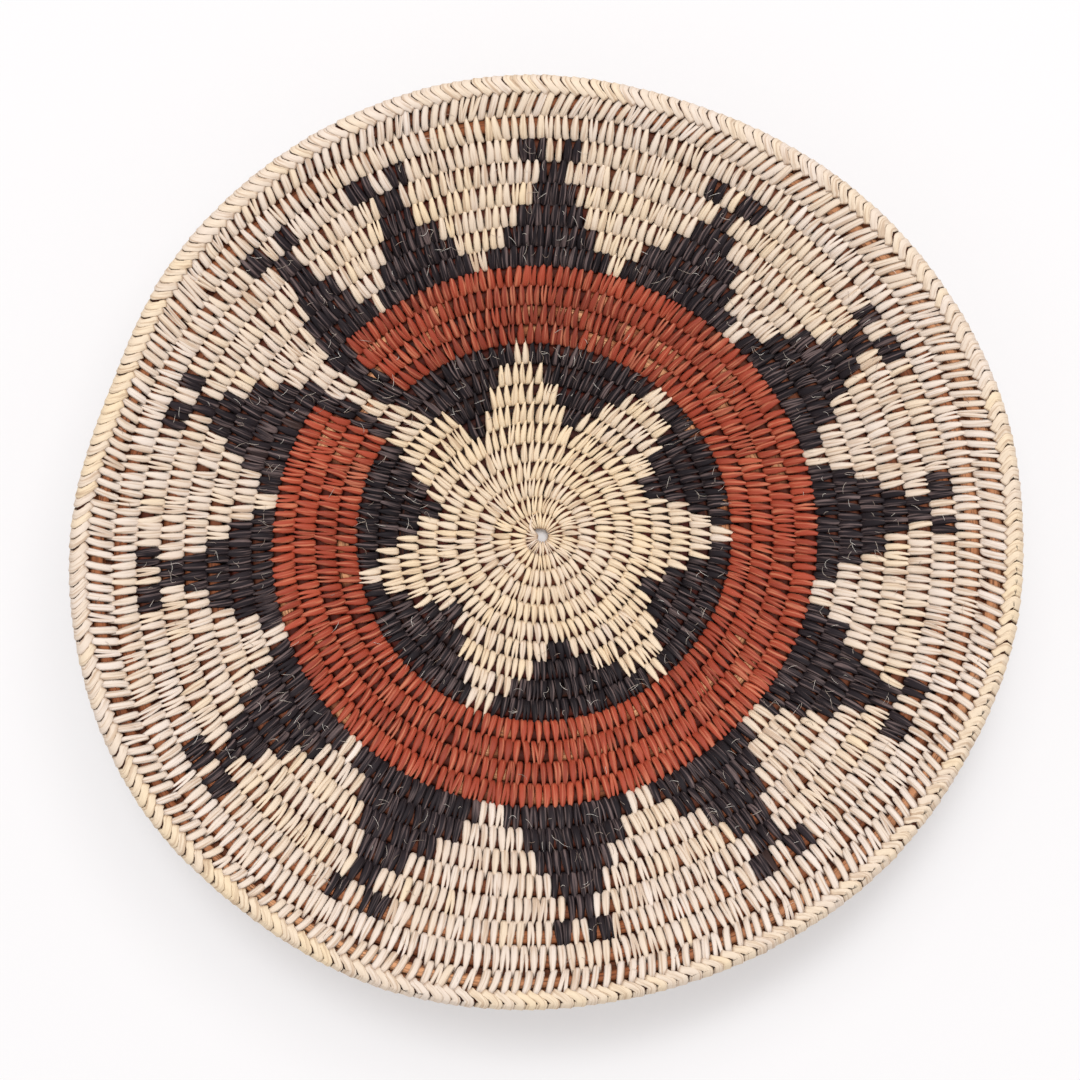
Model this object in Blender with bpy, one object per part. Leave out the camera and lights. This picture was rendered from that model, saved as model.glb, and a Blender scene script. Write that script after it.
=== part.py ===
"""Shallow ceremonial basket, coiled from one unbroken bundle of rods.

The bundle winds outwards from a small hole in twenty-two rounds. Split natural, dark and red
splints are sewn over each round and through the one before, so the wall is one ribbed shell.
The sewing is modelled by motif: each run of one colour along the coil is a hollow ribbed length
that closes round the bundle, and runs of one motif that lie side by side are one solid. A
braided rim closes the last round. Metres, +Z up. The origin lies in the plane of the rest face,
under the middle of the outline.
"""

import math
from functools import lru_cache

import bmesh
import bpy
from mathutils import Matrix, Vector

MM = 0.001

# The coil: its line between rounds runs out from the hole, a little faster at the pathway.
ROUNDS = 22
PATHWAY_ANGLE = math.radians(143)
HOLE_RADIUS = 2.35 * MM
ROUND_WIDTH = 6.7 * MM
ROUND_WIDTH_GROWTH = 0.058 * MM
SLOW_START_SHARE = 1.0
STEP_UP_SHARE = 0.35
STEP_UP_SHARPNESS_SHARE = 0.85
LAST_LINE_SHARE = 0.41
LAST_ROUND_EASE_TURNS = 0.2

# The wall: half its thickness on a rib and in a furrow, at the hole and at the rim.
RIB_HALF_START = 2.7 * MM
RIB_HALF_END = 3.5 * MM
FURROW_HALF_START = 1.3 * MM
FURROW_HALF_END = 1.6 * MM
SEAM_GAP = 0.3 * MM

# The bowl: flat under the middle, then a flare that steepens to the rim.
BASE_RADIUS = 46 * MM
BOWL_DEPTH = 55 * MM
BOWL_POWER = 1.25
REST_ROUNDS = 6
REST_CUT_DEPTH = 0.5 * MM
REST_CUTTER_HEIGHT = 10 * MM

# The hand-made outline: a shift to one side, an oval and three soft corners.
ROUND_SHIFT = 5.7 * MM
ROUND_SHIFT_ANGLE = math.radians(262)
RIM_SHIFT = 3.3 * MM
RIM_SHIFT_ANGLE = math.radians(289)
OVAL = 2.6 * MM
OVAL_ANGLE = math.radians(18)
CORNER = 1.9 * MM
CORNER_ANGLE = math.radians(-15)

# The middle rounds bulge outwards before the pathway: how far, where, and how wide the bulge is.
BULGE = 3.8 * MM
BULGE_ANGLE = math.radians(120)
BULGE_ANGLE_SPREAD = math.radians(52)
BULGE_RADIUS = 72 * MM
BULGE_RADIUS_SPREAD = 38 * MM

# The bundle of rods: a triangle, as three rods lie, in shares of the round's width.
BUNDLE_HALF_BASE_SHARE = 0.24
BUNDLE_TOP_SHARE = 0.20
BUNDLE_BOTTOM_SHARE = 0.12
BUNDLE_CLEARANCE = 0.3 * MM
BUNDLE_START_TURNS = 0.03
BUNDLE_END_TURNS = ROUNDS - 0.03
LEAST_LOOP_GAP = 0.4 * MM

# The braided rim: its section in shares of its own width and height.
BRAID_WIDTH = 6.4 * MM
BRAID_HEIGHT = 7.4 * MM
BRAID_SECTION_SHARES = (
    (0.0, -0.21),
    (0.0, 0.21),
    (0.22, 0.50),
    (0.66, 0.46),
    (1.0, 0.05),
    (0.72, -0.44),
    (0.30, -0.48),
)

# How finely the rounds are drawn: up to each round, how many straight stretches one has.
ROUND_STATIONS = ((4, 9), (10, 14), (14, 16), (ROUNDS, 20))
STATION_MARGIN_TURNS = 0.0007
SAME_PLACE_TURNS = 1e-7

# The pattern, in degrees round the basket from the photograph's right-hand side.
# Dark gaps between the points of the natural star, from their base round inwards. For each gap:
# the middle of its base, how far the base reaches to each side, and how far its point leans.
STAR_GAP_ROUNDS = (10, 9, 8, 7)
STAR_GAP_REACH_SHARES = (1.0, 0.75, 0.48, 0.22)
STAR_GAPS = (
    (168.7, 21.8, -3.6),
    (221.0, 24.8, 0.0),
    (280.2, 26.9, -1.0),
    (335.6, 21.7, 0.0),
    (384.7, 21.6, 0.3),
    (433.3, 20.0, 2.0),
    (478.8, 19.2, 0.0),
)

# Mountains: the top's angle, then how far the base round reaches back and forward.
MOUNTAIN_ROUNDS = (15, 16, 17, 18)
MOUNTAIN_REACH_SHARES = (1.0, 0.76, 0.52, 0.29)
NECK_ROUND = 19
FORK_ROUND = 20
NECK_REACH = 1.9
LEAST_SHOULDER = 0.5
FORK_REACH = 4.5
FORK_SLOT_REACH = 1.2
MOUNTAINS = (
    (158.4, 12.6, 12.1),
    (185.8, 11.6, 12.3),
    (214.9, 13.1, 11.2),
    (242.8, 12.5, 15.1),
    (276.0, 13.0, 12.9),
    (307.5, 14.2, 9.5),
    (334.7, 12.6, 12.2),
    (364.4, 13.2, 10.2),
    (391.3, 12.6, 12.4),
    (419.9, 11.9, 12.3),
    (448.2, 12.0, 11.9),
    (474.6, 11.1, 8.9),
    (493.1, 7.2, 6.0),
)

# The pathway: where the natural strip starts and ends as the coil crosses it, round by round,
# and where the dark borders beside it meet the red band.
RED_ROUNDS = (11, 12, 13, 14)
STRIP_STARTS = (499.1, 499.5, 500.5, 501.2)
STRIP_ENDS = (144.0, 144.4, 144.8, 145.2)
RED_STARTS = (148.9, 149.5, 149.7, 150.1)
RED_ENDS = (494.4, 494.1, 495.4, 495.0)

NATURAL = (0.86, 0.77, 0.63)
DARK = (0.17, 0.15, 0.17)
RED = (0.64, 0.25, 0.16)
ROD = (0.60, 0.36, 0.20)
SPLINT_ROUGHNESS = 0.62
ROD_ROUGHNESS = 0.5
SHARP_ANGLE = math.radians(35)


def linear(channel):
    """Linear value of one display colour channel."""
    return channel / 12.92 if channel <= 0.04045 else ((channel + 0.055) / 1.055) ** 2.4


def finish(name, colour, roughness):
    """A plain material of one colour."""
    material = bpy.data.materials.new(name)
    material.use_nodes = True
    shader = material.node_tree.nodes["Principled BSDF"]
    shader.inputs["Base Color"].default_value = (*map(linear, colour), 1.0)
    shader.inputs["Roughness"].default_value = roughness
    shader.inputs["Metallic"].default_value = 0.0
    return material


def angle_at(turns):
    return PATHWAY_ANGLE + 2 * math.pi * turns


def turns_at(round_number, degrees):
    """Place along the coil, in turns, of an angle in a round."""
    return round_number - 1 + (math.radians(degrees) - PATHWAY_ANGLE) / (2 * math.pi)


def mean_radius(turns):
    """Radius of the line between rounds before the outline's wobble."""
    phase = 2 * math.pi * turns
    sine = STEP_UP_SHARPNESS_SHARE * math.sin(phase)
    cosine = 1 - STEP_UP_SHARPNESS_SHARE * math.cos(phase)
    stepped = turns + STEP_UP_SHARE / math.pi * math.atan2(sine, cosine)
    start = stepped**2 / (stepped + SLOW_START_SHARE)
    return HOLE_RADIUS + ROUND_WIDTH * start + ROUND_WIDTH_GROWTH * stepped**2


RIM_MEAN_RADIUS = mean_radius(ROUNDS + LAST_LINE_SHARE)


def rim_radius(angle):
    """Outer line of the last round, a closed curve."""
    shift = RIM_SHIFT * math.cos(angle - RIM_SHIFT_ANGLE)
    oval = OVAL * math.cos(2 * (angle - OVAL_ANGLE))
    corner = CORNER * math.cos(3 * (angle - CORNER_ANGLE))
    return RIM_MEAN_RADIUS + shift + oval + corner


def bulge(mean, angle):
    """How far a middle round bulges outwards at an angle."""
    turned = math.remainder(angle - BULGE_ANGLE, 2 * math.pi) / BULGE_ANGLE_SPREAD
    away = (mean - BULGE_RADIUS) / BULGE_RADIUS_SPREAD
    return BULGE * math.exp(-(turned**2) - away**2)


def line_radius(turns):
    """Inner line of the coil at a place along it, which is the outer line one turn before."""
    mean = mean_radius(turns)
    share = mean / RIM_MEAN_RADIUS
    angle = angle_at(turns)
    shift = ROUND_SHIFT * share**2 * math.cos(angle - ROUND_SHIFT_ANGLE)
    oval = OVAL * share * math.cos(2 * (angle - OVAL_ANGLE))
    corner = CORNER * share**3 * math.cos(3 * (angle - CORNER_ANGLE))
    return mean + shift + oval + corner + bulge(mean, angle)


def bundle_outer_radius(turns):
    """The outer line as the bundle sees it, eased into the wider last round."""
    ease = min(max((turns - (ROUNDS - 1)) / LAST_ROUND_EASE_TURNS, 0.0), 1.0)
    ease = ease * ease * (3 - 2 * ease)
    spiral = line_radius(turns + 1)
    return spiral + ease * (rim_radius(angle_at(turns)) - spiral)


def rib_radius(turns):
    return (line_radius(turns) + bundle_outer_radius(turns)) / 2


def along_coil(start, end, turns):
    return start + (end - start) * turns / ROUNDS


def rib_half(turns):
    return along_coil(RIB_HALF_START, RIB_HALF_END, turns)


def furrow_half(turns):
    return along_coil(FURROW_HALF_START, FURROW_HALF_END, turns)


WALL_LIFT = rib_half(REST_ROUNDS) - REST_CUT_DEPTH


def wall_point(radius, angle, sideways, height):
    """Point beside the bowl's middle surface: sideways runs up the bowl, height square to it."""
    flare_length = rim_radius(angle) - BASE_RADIUS
    reach = max(radius - BASE_RADIUS, 0.0) / flare_length
    rise = BOWL_DEPTH * reach**BOWL_POWER
    slope = math.atan2(BOWL_DEPTH * BOWL_POWER * reach ** (BOWL_POWER - 1), flare_length)
    if reach == 0.0:
        slope = 0.0
    out = radius + sideways * math.cos(slope) - height * math.sin(slope)
    up = WALL_LIFT + rise + sideways * math.sin(slope) + height * math.cos(slope)
    return Vector((out * math.cos(angle), out * math.sin(angle), up))


@lru_cache(maxsize=None)
def line_at(turns, side):
    return wall_point(line_radius(turns), angle_at(turns), 0, side * furrow_half(turns))


@lru_cache(maxsize=None)
def rim_line_at(turns, side):
    angle = angle_at(turns)
    return wall_point(rim_radius(angle), angle, 0, side * furrow_half(ROUNDS))


@lru_cache(maxsize=None)
def rib_at(turns, side):
    return wall_point(rib_radius(turns), angle_at(turns), 0, side * rib_half(turns))


@lru_cache(maxsize=None)
def bundle_at(turns, corner, clearance):
    """Corner 0 is the bundle's top, 1 its outer foot and 2 its inner foot."""
    width = bundle_outer_radius(turns) - line_radius(turns)
    foot = BUNDLE_HALF_BASE_SHARE * width + clearance
    sideways = (0, foot, -foot)[corner]
    top = BUNDLE_TOP_SHARE * width + clearance
    height = top if corner == 0 else -BUNDLE_BOTTOM_SHARE * width - clearance
    return wall_point(rib_radius(turns), angle_at(turns), sideways, height)


def stations_in_round(turns):
    for last_round, count in ROUND_STATIONS:
        if turns < last_round - SAME_PLACE_TURNS:
            return count
    return ROUND_STATIONS[-1][1]


def on_chord(point_at, turns, *options):
    """A point on the straight stretch between two stations of the round that it lies in."""
    count = stations_in_round(turns)
    place = turns * count
    low = math.floor(place + SAME_PLACE_TURNS * count)
    share = place - low
    start = point_at(low / count, *options)
    if share <= SAME_PLACE_TURNS * count:
        return start
    return start.lerp(point_at((low + 1) / count, *options), share)


def stations_between(start, end, line_turns):
    """Stations well inside a stretch, on the grid of the round at line_turns."""
    count = stations_in_round(line_turns)
    first = math.ceil((start + STATION_MARGIN_TURNS) * count)
    last = math.floor((end - STATION_MARGIN_TURNS) * count)
    return [number / count for number in range(first, last + 1)]


def stations_along(start, end, line_offset=0):
    """Stations well inside a stretch that may run through several rounds."""
    stations = []
    for whole in range(math.floor(start), math.ceil(end)):
        low = max(start, whole)
        high = min(end, whole + 1)
        inside = stations_between(low, high, whole + line_offset)
        if low == whole and whole > start + STATION_MARGIN_TURNS:
            inside.insert(0, float(whole))
        stations += inside
    return stations


def inset_turns(turns):
    return SEAM_GAP / 2 / (2 * math.pi * rib_radius(turns))


class Sewing:
    """The solid of one motif: runs along the coil, one body where they lie side by side."""

    def __init__(self, runs):
        self.mesh = bmesh.new()
        self.corners = {}
        self.runs = [
            (start + inset_turns(start), end - inset_turns(end)) for start, end in runs
        ]
        for number, run in enumerate(self.runs):
            self.add_run(number, run)
        bmesh.ops.recalc_face_normals(self.mesh, faces=self.mesh.faces)

    def corner(self, key, point):
        if key not in self.corners:
            self.corners[key] = self.mesh.verts.new(point)
        return self.corners[key]

    def overlaps(self, run, outward):
        """Stretches of a run with a run of this motif right beside them."""
        shift = -1 if outward else 1
        found = []
        for start, end in self.runs:
            low = max(run[0], start + shift)
            high = min(run[1], end + shift)
            if high - low > SAME_PLACE_TURNS:
                found.append((low, high))
        return sorted(found)

    def track(self, run, outward):
        """Places along a run's side, in order, each with whether the next round shares it."""
        places = []

        def stretch(low, high, shared):
            inside = stations_along(low, high, int(outward))
            places.extend((turns, shared) for turns in (low, *inside, high))

        cursor = run[0]
        for low, high in self.overlaps(run, outward):
            if low > cursor + SAME_PLACE_TURNS:
                stretch(cursor, low, False)
            stretch(low, high, True)
            cursor = high
        if cursor < run[1] - SAME_PLACE_TURNS:
            stretch(cursor, run[1], False)
        merged = [places[0]]
        for place in places[1:]:
            if place != merged[-1]:
                merged.append(place)
        return merged

    def side_corner(self, number, outward, place, side):
        turns, shared = place
        line_turns = turns + int(outward)
        if shared:
            point = on_chord(line_at, line_turns, side)
            return self.corner(("line", round(line_turns, 6), side), point)
        if outward and turns > ROUNDS - 1:
            edge = on_chord(rim_line_at, turns, side)
        else:
            edge = on_chord(line_at, line_turns, side)
        rib = on_chord(rib_at, turns, side)
        point = edge + (rib - edge).normalized() * SEAM_GAP / 2
        return self.corner(("edge", number, outward, round(turns, 6), side), point)

    def rib_corner(self, number, turns, side):
        point = on_chord(rib_at, turns, side)
        return self.corner(("rib", number, round(turns, 6), side), point)

    def channel_corner(self, number, turns, which):
        point = on_chord(bundle_at, turns, which, BUNDLE_CLEARANCE)
        return self.corner(("channel", number, round(turns, 6), which), point)

    def face(self, corners):
        ring = [corner for at, corner in enumerate(corners) if corner is not corners[at - 1]]
        if len(ring) > 2:
            self.mesh.faces.new(ring)

    def half_strip(self, number, ribs, outward, track, side):
        """Faces between the rib and one side, zipped from corner to corner along the run."""
        rib_line = [self.rib_corner(number, turns, side) for turns in ribs]
        side_line = [self.side_corner(number, outward, place, side) for place in track]
        rib, edge = 0, 0
        while rib < len(ribs) - 1 or edge < len(track) - 1:
            rib_next = ribs[rib + 1] if rib < len(ribs) - 1 else math.inf
            edge_next = track[edge + 1][0] if edge < len(track) - 1 else math.inf
            rib_steps = int(rib_next < edge_next + SAME_PLACE_TURNS)
            edge_steps = int(edge_next < rib_next + SAME_PLACE_TURNS)
            before = [side_line[edge], rib_line[rib]]
            rib += rib_steps
            edge += edge_steps
            after = [rib_line[rib]] * rib_steps + [side_line[edge]] * edge_steps
            self.face(before + after)

    def end_wall(self, number, turns, inner, outer):
        """Cross-section at a run's end, open where the bundle passes."""
        low, high = -1, 1
        inner_low = self.side_corner(number, False, inner, low)
        inner_high = self.side_corner(number, False, inner, high)
        outer_low = self.side_corner(number, True, outer, low)
        outer_high = self.side_corner(number, True, outer, high)
        rib_low = self.rib_corner(number, turns, low)
        rib_high = self.rib_corner(number, turns, high)
        top, outer_foot, inner_foot = (
            self.channel_corner(number, turns, which) for which in range(3)
        )
        self.face([rib_high, outer_high, outer_low, outer_foot, top])
        self.face([outer_low, rib_low, inner_low, inner_foot, outer_foot])
        self.face([inner_low, inner_high, rib_high, top, inner_foot])

    def add_run(self, number, run):
        ribs = [run[0], *stations_along(*run), run[1]]
        inner = self.track(run, False)
        outer = self.track(run, True)
        for outward, track in ((False, inner), (True, outer)):
            for side in (-1, 1):
                self.half_strip(number, ribs, outward, track, side)
            for before, after in zip(track, track[1:]):
                if before[1] and after[1]:
                    continue
                self.face(
                    [
                        self.side_corner(number, outward, before, 1),
                        self.side_corner(number, outward, before, -1),
                        self.side_corner(number, outward, after, -1),
                        self.side_corner(number, outward, after, 1),
                    ]
                )
        self.end_wall(number, run[0], inner[0], outer[0])
        self.end_wall(number, run[1], inner[-1], outer[-1])
        for before, after in zip(ribs, ribs[1:]):
            for which in range(3):
                following = (which + 1) % 3
                self.face(
                    [
                        self.channel_corner(number, before, which),
                        self.channel_corner(number, after, which),
                        self.channel_corner(number, after, following),
                        self.channel_corner(number, before, following),
                    ]
                )


def new_object(name, mesh_builder, material, collection):
    """An object from a bmesh, shaded smooth along the ribs."""
    mesh = bpy.data.meshes.new(name)
    mesh_builder.to_mesh(mesh)
    mesh_builder.free()
    mesh.materials.append(material)
    mesh.shade_smooth()
    mesh.set_sharp_from_angle(angle=SHARP_ANGLE)
    piece = bpy.data.objects.new(name, mesh)
    collection.objects.link(piece)
    return piece


def loft(sections, closed):
    """Skin through sections of equal corner count, joined end to end or capped."""
    skin = bmesh.new()
    rings = [[skin.verts.new(point) for point in section] for section in sections]
    pairs = list(zip(rings, rings[1:]))
    if closed:
        pairs.append((rings[-1], rings[0]))
    else:
        skin.faces.new(rings[0][::-1])
        skin.faces.new(rings[-1])
    for before, after in pairs:
        for at in range(len(before)):
            skin.faces.new((before[at - 1], before[at], after[at], after[at - 1]))
    bmesh.ops.recalc_face_normals(skin, faces=skin.faces)
    return skin


def foundation_coil(material, collection):
    """The bundle of rods as one unbroken tube through every round."""
    inside = stations_along(BUNDLE_START_TURNS, BUNDLE_END_TURNS)
    places = (BUNDLE_START_TURNS, *inside, BUNDLE_END_TURNS)
    sections = [
        [on_chord(bundle_at, turns, which, 0) for which in range(3)]
        for turns in places
    ]
    report_loop_gap()
    return new_object("foundation_coil", loft(sections, False), material, collection)


def report_loop_gap():
    """Prints the least gap between neighbouring loops of the bundle, foot to foot."""
    gaps = []
    for turns in stations_along(BUNDLE_START_TURNS, BUNDLE_END_TURNS - 1):
        outer_foot = bundle_at(turns, 1, 0)
        for other in range(-2, 3):
            beside = bundle_at(turns + 1 + other / stations_in_round(turns + 1), 2, 0)
            gaps.append((beside - outer_foot).length)
    least = min(gaps)
    enough = "over" if least > LEAST_LOOP_GAP else "under"
    print(f"foundation_coil: least gap between loops {least / MM:.2f} mm, {enough} the least wanted")


def braided_rim(material, collection):
    """The false braid on the last round's outer edge, a closed ring."""
    sections = []
    stations = stations_in_round(ROUNDS - 1)
    for number in range(stations):
        turns = ROUNDS - 1 + number / stations
        low = rim_line_at(turns, -1)
        high = rim_line_at(turns, 1)
        middle = (low + high) / 2
        up = (high - low).normalized()
        around = Vector((-middle.y, middle.x, 0)).normalized()
        out = around.cross(up)
        start = middle + out * SEAM_GAP / 2
        sections.append(
            [
                start + out * BRAID_WIDTH * across + up * BRAID_HEIGHT * height
                for across, height in BRAID_SECTION_SHARES
            ]
        )
    return new_object("braided_rim", loft(sections, True), material, collection)


def star_gap_runs(middle, reach, lean):
    """Runs of one dark gap of the star, widest in its outer round."""
    runs = []
    for number, share in zip(STAR_GAP_ROUNDS, STAR_GAP_REACH_SHARES):
        here = middle + (1 - share) * lean
        runs.append((turns_at(number, here - share * reach), turns_at(number, here + share * reach)))
    return runs


def mountain_edges(mountain, number):
    """Where a mountain starts and ends in a round, in degrees."""
    top, back, forward = mountain
    if number == FORK_ROUND:
        return top - FORK_REACH, top + FORK_REACH
    if number == NECK_ROUND:
        return top - NECK_REACH, top + NECK_REACH
    share = MOUNTAIN_REACH_SHARES[MOUNTAIN_ROUNDS.index(number)]
    least = NECK_REACH + LEAST_SHOULDER
    return top - max(share * back, least), top + max(share * forward, least)


def mountain_runs(mountain):
    """Runs of one dark mountain: its slopes, its neck and the fork on top."""
    runs = []
    for number in (*MOUNTAIN_ROUNDS, NECK_ROUND):
        start, end = mountain_edges(mountain, number)
        runs.append((turns_at(number, start), turns_at(number, end)))
    top = mountain[0]
    start, end = mountain_edges(mountain, FORK_ROUND)
    runs.append((turns_at(FORK_ROUND, start), turns_at(FORK_ROUND, top - FORK_SLOT_REACH)))
    runs.append((turns_at(FORK_ROUND, top + FORK_SLOT_REACH), turns_at(FORK_ROUND, end)))
    return runs


def valley_runs(before, after):
    """Natural runs between two mountains."""
    return [
        (
            turns_at(number, mountain_edges(before, number)[1]),
            turns_at(number, mountain_edges(after, number)[0]),
        )
        for number in (*MOUNTAIN_ROUNDS, NECK_ROUND, FORK_ROUND)
    ]


def pathway_valley_runs():
    """Natural runs across the pathway, from the last mountain of a round to the first of the next."""
    last, first = MOUNTAINS[-1], MOUNTAINS[0]
    runs = []
    for number in (*MOUNTAIN_ROUNDS, NECK_ROUND):
        start = turns_at(number, mountain_edges(last, number)[1])
        runs.append((start, turns_at(number + 1, mountain_edges(first, number + 1)[0])))
    start = turns_at(FORK_ROUND, mountain_edges(last, FORK_ROUND)[1])
    runs.append((start, float(FORK_ROUND)))
    return runs


def star_runs(dark_runs):
    """Natural runs from the middle to the star's last point: what the dark gaps leave."""
    runs = []
    cursor = 0.0
    for start, end in sorted(dark_runs):
        runs.append((cursor, start))
        cursor = end
    return runs


def pathway_runs():
    """The natural strip, from the star's point to the mountains, as the coil crosses it."""
    star_end = turns_at(STAR_GAP_ROUNDS[0], STAR_GAPS[-1][0] + STAR_GAPS[-1][1])
    starts = [star_end]
    starts += [turns_at(number, start) for number, start in zip(RED_ROUNDS, STRIP_STARTS)]
    ends = [turns_at(number, end) for number, end in zip(RED_ROUNDS, STRIP_ENDS)]
    first_mountain_start = mountain_edges(MOUNTAINS[0], MOUNTAIN_ROUNDS[0])[0]
    ends.append(turns_at(MOUNTAIN_ROUNDS[0], first_mountain_start))
    return list(zip(starts, ends))


def band_runs(starts, ends):
    return [
        (turns_at(number, start), turns_at(number, end))
        for number, start, end in zip(RED_ROUNDS, starts, ends)
    ]


def plain_round_runs():
    """The natural round over the mountains, with its stitches in the forks."""
    runs = [(float(FORK_ROUND), float(ROUNDS - 1))]
    for top, _, _ in MOUNTAINS:
        start = turns_at(FORK_ROUND, top - FORK_SLOT_REACH)
        runs.append((start, turns_at(FORK_ROUND, top + FORK_SLOT_REACH)))
    return runs


def all_motifs():
    """Name, finish and runs of each motif."""
    gaps = [star_gap_runs(*gap) for gap in STAR_GAPS]
    motifs = [("star_sewing", "natural", star_runs(sum(gaps, [])))]
    for number, runs in enumerate(gaps, 1):
        motifs.append((f"star_gap_{number}", "dark", runs))
    motifs.append(("red_band", "red", band_runs(RED_STARTS, RED_ENDS)))
    motifs.append(("pathway_border_1", "dark", band_runs(STRIP_ENDS, RED_STARTS)))
    motifs.append(("pathway_border_2", "dark", band_runs(RED_ENDS, STRIP_STARTS)))
    motifs.append(("pathway_strip", "natural", pathway_runs()))
    for number, mountain in enumerate(MOUNTAINS, 1):
        motifs.append((f"mountain_{number:02d}", "dark", mountain_runs(mountain)))
    for number, pair in enumerate(zip(MOUNTAINS, MOUNTAINS[1:]), 1):
        motifs.append((f"valley_{number:02d}", "natural", valley_runs(*pair)))
    motifs.append((f"valley_{len(MOUNTAINS):02d}", "natural", pathway_valley_runs()))
    motifs.append(("plain_round", "natural", plain_round_runs()))
    motifs.append(("last_round", "natural", [(float(ROUNDS - 1), float(ROUNDS))]))
    return motifs


def rest_cutter(collection):
    """A block under the basket, whose top is the rest face."""
    bpy.ops.mesh.primitive_cube_add(size=1)
    cutter = bpy.context.object
    cutter.name = "rest_cutter"
    cutter.scale = (2 * RIM_MEAN_RADIUS, 2 * RIM_MEAN_RADIUS, REST_CUTTER_HEIGHT)
    cutter.location = (0, 0, -REST_CUTTER_HEIGHT / 2)
    for holder in list(cutter.users_collection):
        holder.objects.unlink(cutter)
    collection.objects.link(cutter)
    cutter.hide_render = True
    cutter.display_type = "WIRE"
    return cutter


def cut_flat(piece, cutter):
    """Cuts the ribs that the basket stands on to one plane."""
    modifier = piece.modifiers.new("rest_face", "BOOLEAN")
    modifier.operation = "DIFFERENCE"
    # The exact solver leaves the ribs of star_sewing uncut.
    modifier.solver = "MANIFOLD"
    modifier.object = cutter


def centre_outline(pieces):
    """Moves every mesh so that the middle of the outline lies over the origin."""
    across = [corner.co.x for piece in pieces for corner in piece.data.vertices]
    along = [corner.co.y for piece in pieces for corner in piece.data.vertices]
    middle = Vector((min(across) + max(across), min(along) + max(along), 0)) / 2
    for piece in pieces:
        piece.data.transform(Matrix.Translation(-middle))
    return middle


def report_places(middle):
    """Prints where the hole lies and a place on the flat of a rib that the basket stands on."""
    place = rib_at(float(REST_ROUNDS - 1), -1) - middle
    print(f"hole: {-middle.x / MM:.3f}, {-middle.y / MM:.3f} mm from the outline's middle")
    print(f"rest place: {place.x / MM:.3f}, {place.y / MM:.3f} mm")


def main():
    for old in list(bpy.data.objects):
        bpy.data.objects.remove(old)
    parts = bpy.data.collections.new("ceremonial_basket")
    cutters = bpy.data.collections.new("cutters")
    bpy.context.scene.collection.children.link(parts)
    bpy.context.scene.collection.children.link(cutters)
    finishes = {
        "natural": finish("natural_splint", NATURAL, SPLINT_ROUGHNESS),
        "dark": finish("dark_splint", DARK, SPLINT_ROUGHNESS),
        "red": finish("red_splint", RED, SPLINT_ROUGHNESS),
        "rod": finish("foundation_rod", ROD, ROD_ROUGHNESS),
    }
    cutter = rest_cutter(cutters)
    for name, colour, runs in all_motifs():
        piece = new_object(name, Sewing(runs).mesh, finishes[colour], parts)
        if min(corner.co.z for corner in piece.data.vertices) < 0:
            cut_flat(piece, cutter)
    foundation_coil(finishes["rod"], parts)
    braided_rim(finishes["natural"], parts)
    report_places(centre_outline(list(parts.objects)))


main()
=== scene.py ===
"""Looks of the shallow ceremonial basket: every stitch, rod and braid leg is its own surface.

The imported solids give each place. Each sewn motif is replaced by the splint stitches that lie in
it, the bundle by three peeled rods that wind out from the hole, and the rim by its plaited legs.
A stitch is a thin band carried round an oval loop that closes over one round of the coil.
Lengths are in metres, angles in radians unless a name says degrees.
"""

import logging
import math
from dataclasses import dataclass, field
from enum import Enum

import bpy
import numpy as np
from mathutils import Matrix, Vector
from mathutils.bvhtree import BVHTree


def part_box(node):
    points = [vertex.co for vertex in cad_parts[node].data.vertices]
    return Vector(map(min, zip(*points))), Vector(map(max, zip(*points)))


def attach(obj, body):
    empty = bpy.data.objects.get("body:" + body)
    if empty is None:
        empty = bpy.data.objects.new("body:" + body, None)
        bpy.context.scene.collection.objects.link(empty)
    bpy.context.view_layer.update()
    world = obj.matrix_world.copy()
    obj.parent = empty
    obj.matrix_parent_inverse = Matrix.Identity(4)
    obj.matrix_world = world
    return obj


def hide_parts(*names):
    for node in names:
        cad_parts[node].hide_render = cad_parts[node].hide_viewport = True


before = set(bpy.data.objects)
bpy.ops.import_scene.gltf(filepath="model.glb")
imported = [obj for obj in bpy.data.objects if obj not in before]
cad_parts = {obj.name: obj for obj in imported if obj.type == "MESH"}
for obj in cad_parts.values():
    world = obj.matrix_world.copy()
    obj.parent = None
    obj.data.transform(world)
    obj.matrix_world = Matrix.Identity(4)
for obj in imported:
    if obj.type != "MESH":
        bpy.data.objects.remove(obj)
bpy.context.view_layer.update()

MM = 0.001
BODY = "root"
TURN = 2 * math.pi
PATTERN_REACH = 400.0

log = logging.getLogger("ceremonial_basket")
Array = np.ndarray
Bells = tuple[tuple[float, float, float], ...]
Ends = tuple[float, float]


class Slot(Enum):
    """Material slots of the record that the pieces take their finish from."""

    NATURAL = "natural_splint"
    DARK = "dark_splint"
    RED = "red_splint"
    ROD = "foundation_rod"


SLOT_PREFIXES = {
    "star_gap": Slot.DARK,
    "pathway_border": Slot.DARK,
    "mountain": Slot.DARK,
    "red_band": Slot.RED,
}


def slot_of(node: str) -> Slot:
    """The finish of a sewn motif, by its node's name.

    Args:
        node: name of a CAD node.

    Returns:
        The slot whose prefix the name starts with, or the natural splint.
    """
    for prefix, slot in SLOT_PREFIXES.items():
        if node.startswith(prefix):
            return slot
    return Slot.NATURAL


def smooth(share: Array) -> Array:
    """Smooth step: 3 x squared less 2 x cubed, between 0 and 1."""
    share = np.clip(share, 0.0, 1.0)
    return share * share * (3 - 2 * share)


def between(ends: Ends, share: Array) -> Array:
    """A value between two ends, by its share of the way."""
    return ends[0] + (ends[1] - ends[0]) * share


def onset(turns: Array, rounds: Ends) -> Array:
    """Smooth step along the coil, by the round where it starts and the rounds that it takes."""
    return smooth((turns - rounds[0]) / rounds[1])


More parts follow.
